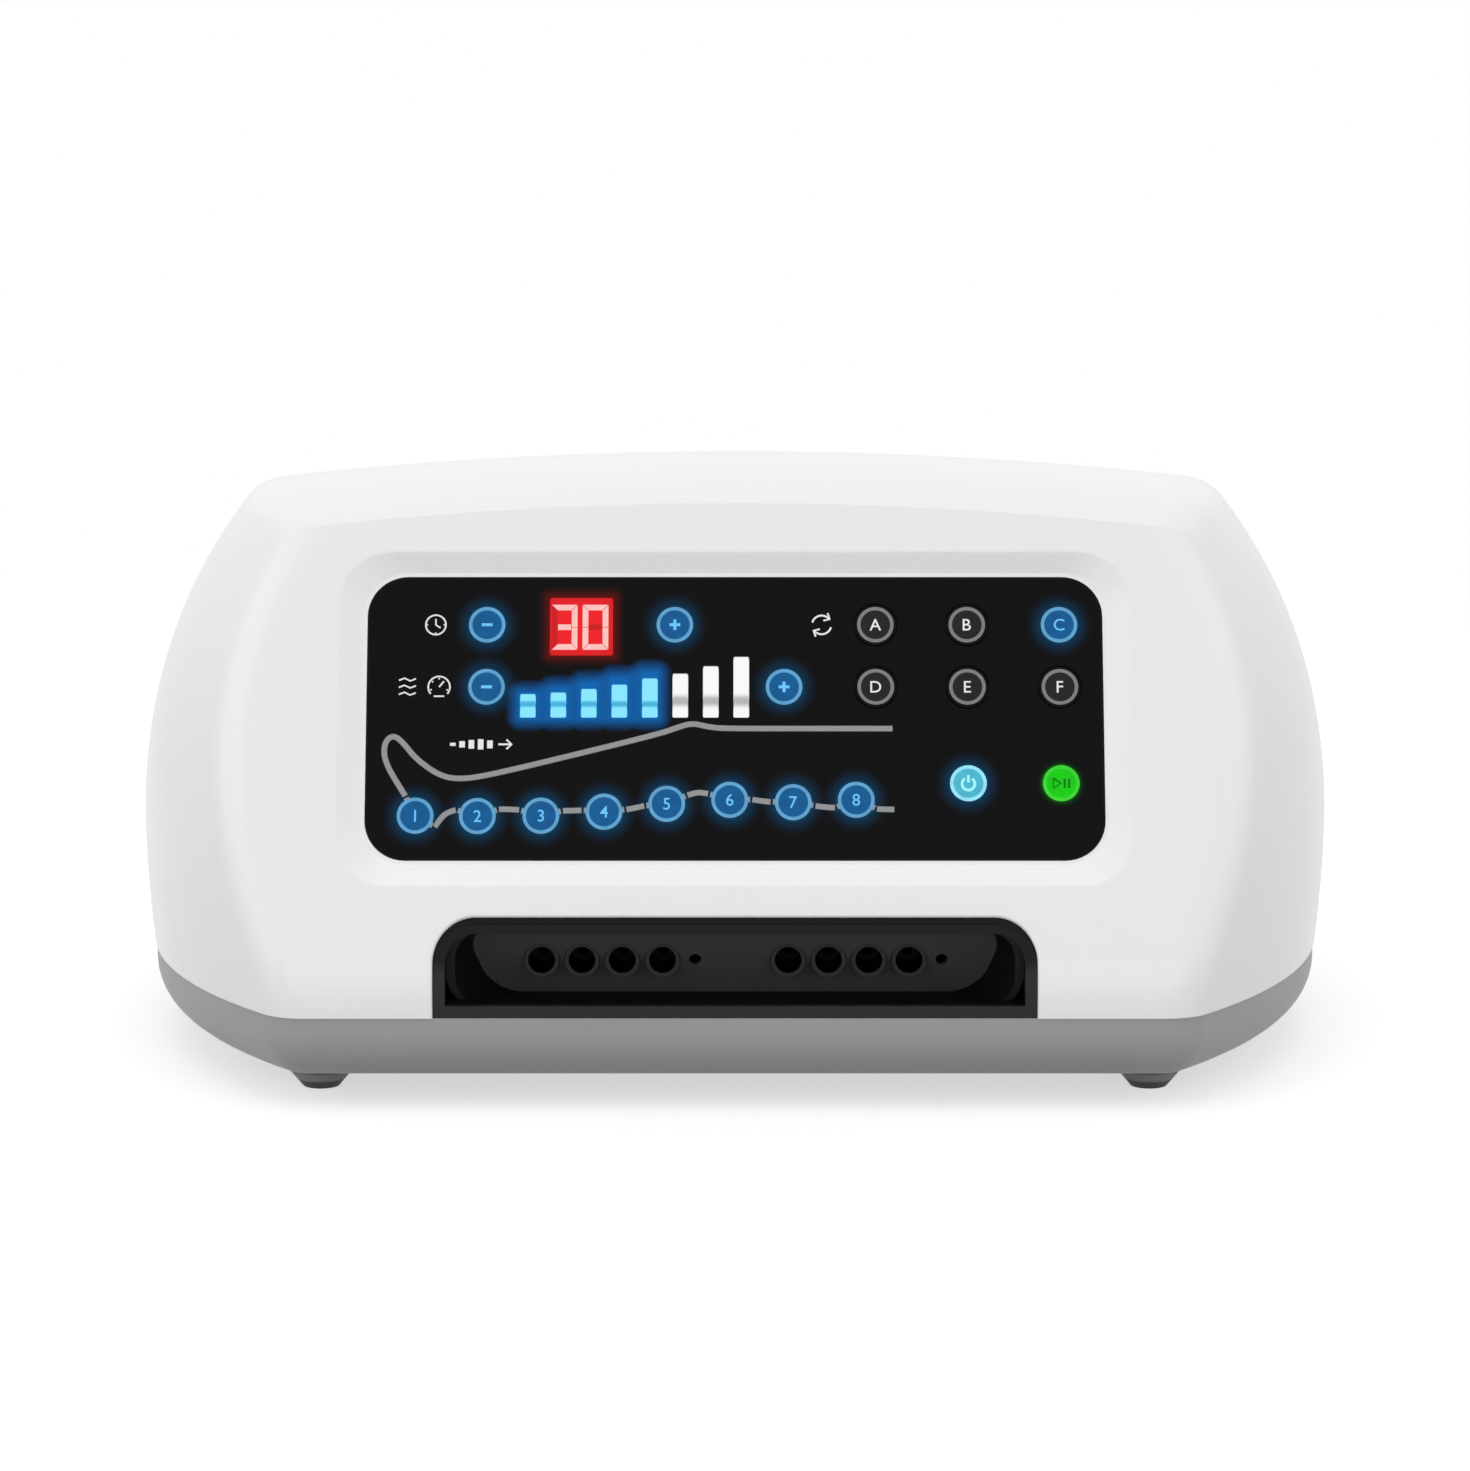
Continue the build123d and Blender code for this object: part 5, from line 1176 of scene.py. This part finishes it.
def head_of(points):
    """The middle of a screw's head and the way it faces."""
    size = [max(p[i] for p in points) - min(p[i] for p in points) for i in range(3)]
    if abs(size[0] - size[1]) < SAME_SIZE:
        axis = Vector((0, 0, 1))
    elif abs(size[0] - size[2]) < SAME_SIZE:
        axis = Vector((0, 1, 0))
    else:
        axis = FACE_NORMAL
    ends = []
    for way in (axis, -axis):
        top = max(p.dot(way) for p in points)
        rim = [p for p in points if p.dot(way) > top - RIM_DEPTH]
        middle = sum(rim, Vector()) / len(rim)
        ends.append((max((p - middle).length for p in rim), middle, way))
    _, middle, way = max(ends, key=lambda end: end[0])
    return middle, way


# %% Cut the recesses
for node_name in ("case_screws", "machine_screws"):
    screws = welded_copy(node_name)
    heads = [head_of(points) for points in loose_parts(screws.data)]
    cutters = []
    for middle, way in heads:
        cutter = cross_cutter()
        aim = way.to_track_quat("Z", "Y").to_matrix().to_4x4()
        settle(cutter, Matrix.Translation(middle) @ aim @ Matrix.Scale(MM, 4))
        cutters.append(cutter)
    cutter = joined(*cutters)
    pick(screws)
    cut = screws.modifiers.new("recess", "BOOLEAN")
    cut.operation = "DIFFERENCE"
    cut.object = cutter
    bpy.ops.object.modifier_apply(modifier=cut.name)
    bpy.ops.object.shade_smooth_by_angle(angle=EDGE_ANGLE)
    bpy.data.objects.remove(cutter)
    hand_over(screws, node_name + "_crossed", "root", "steel", paints["steel"])
    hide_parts(node_name)
    print(node_name, "heads:", len(heads), "faces:", len(screws.data.polygons))

# %% [markdown]
# ## Marks on the mains switch
#
# The rocker carries the usual stroke for on and ring for off. Its two halves slope, so each
# mark is laid where a straight line from behind meets the rocker, along the slope there.

# %% On and off
MARK_HEIGHT = 3.4
ON_LINE, OFF_LINE = 0.70, 0.60
MARK_ASIDE = 4.6 * MM
RAY_START = 20 * MM
switch_low, switch_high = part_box("mains_switch")
switch_middle = (switch_low + switch_high) / 2


def rocker_place(x, z):
    """The matrix that lays a drawing in millimetres on the rocker's rear at x, z."""
    start = Vector((x, switch_high.y + RAY_START, z))
    _, spot, normal, _ = nodes["mains_switch"].ray_cast(start, Vector((0, -1, 0)))
    up = Vector((0, 0, 1))
    right = up.cross(normal).normalized()
    turn = Matrix((right, normal.cross(right), normal)).transposed().to_4x4()
    return Matrix.Translation(spot) @ turn @ Matrix.Scale(MM, 4)


on_mark = strokes([[(0, -MARK_HEIGHT / 2), (0, MARK_HEIGHT / 2)]], ON_LINE)
off_mark = strokes([arc(MARK_HEIGHT / 2, 0, 360, steps=32)], OFF_LINE)
for name, mark, aside in (("switch_on_mark", on_mark, -MARK_ASIDE),
                          ("switch_off_mark", off_mark, MARK_ASIDE)):
    settle(mark, rocker_place(switch_middle.x + aside, switch_middle.z))
    hand_over(mark, name, "mains_switch", "rocker_gloss", white_ink)
print("switch marks: 2, on a rocker at", switch_middle)
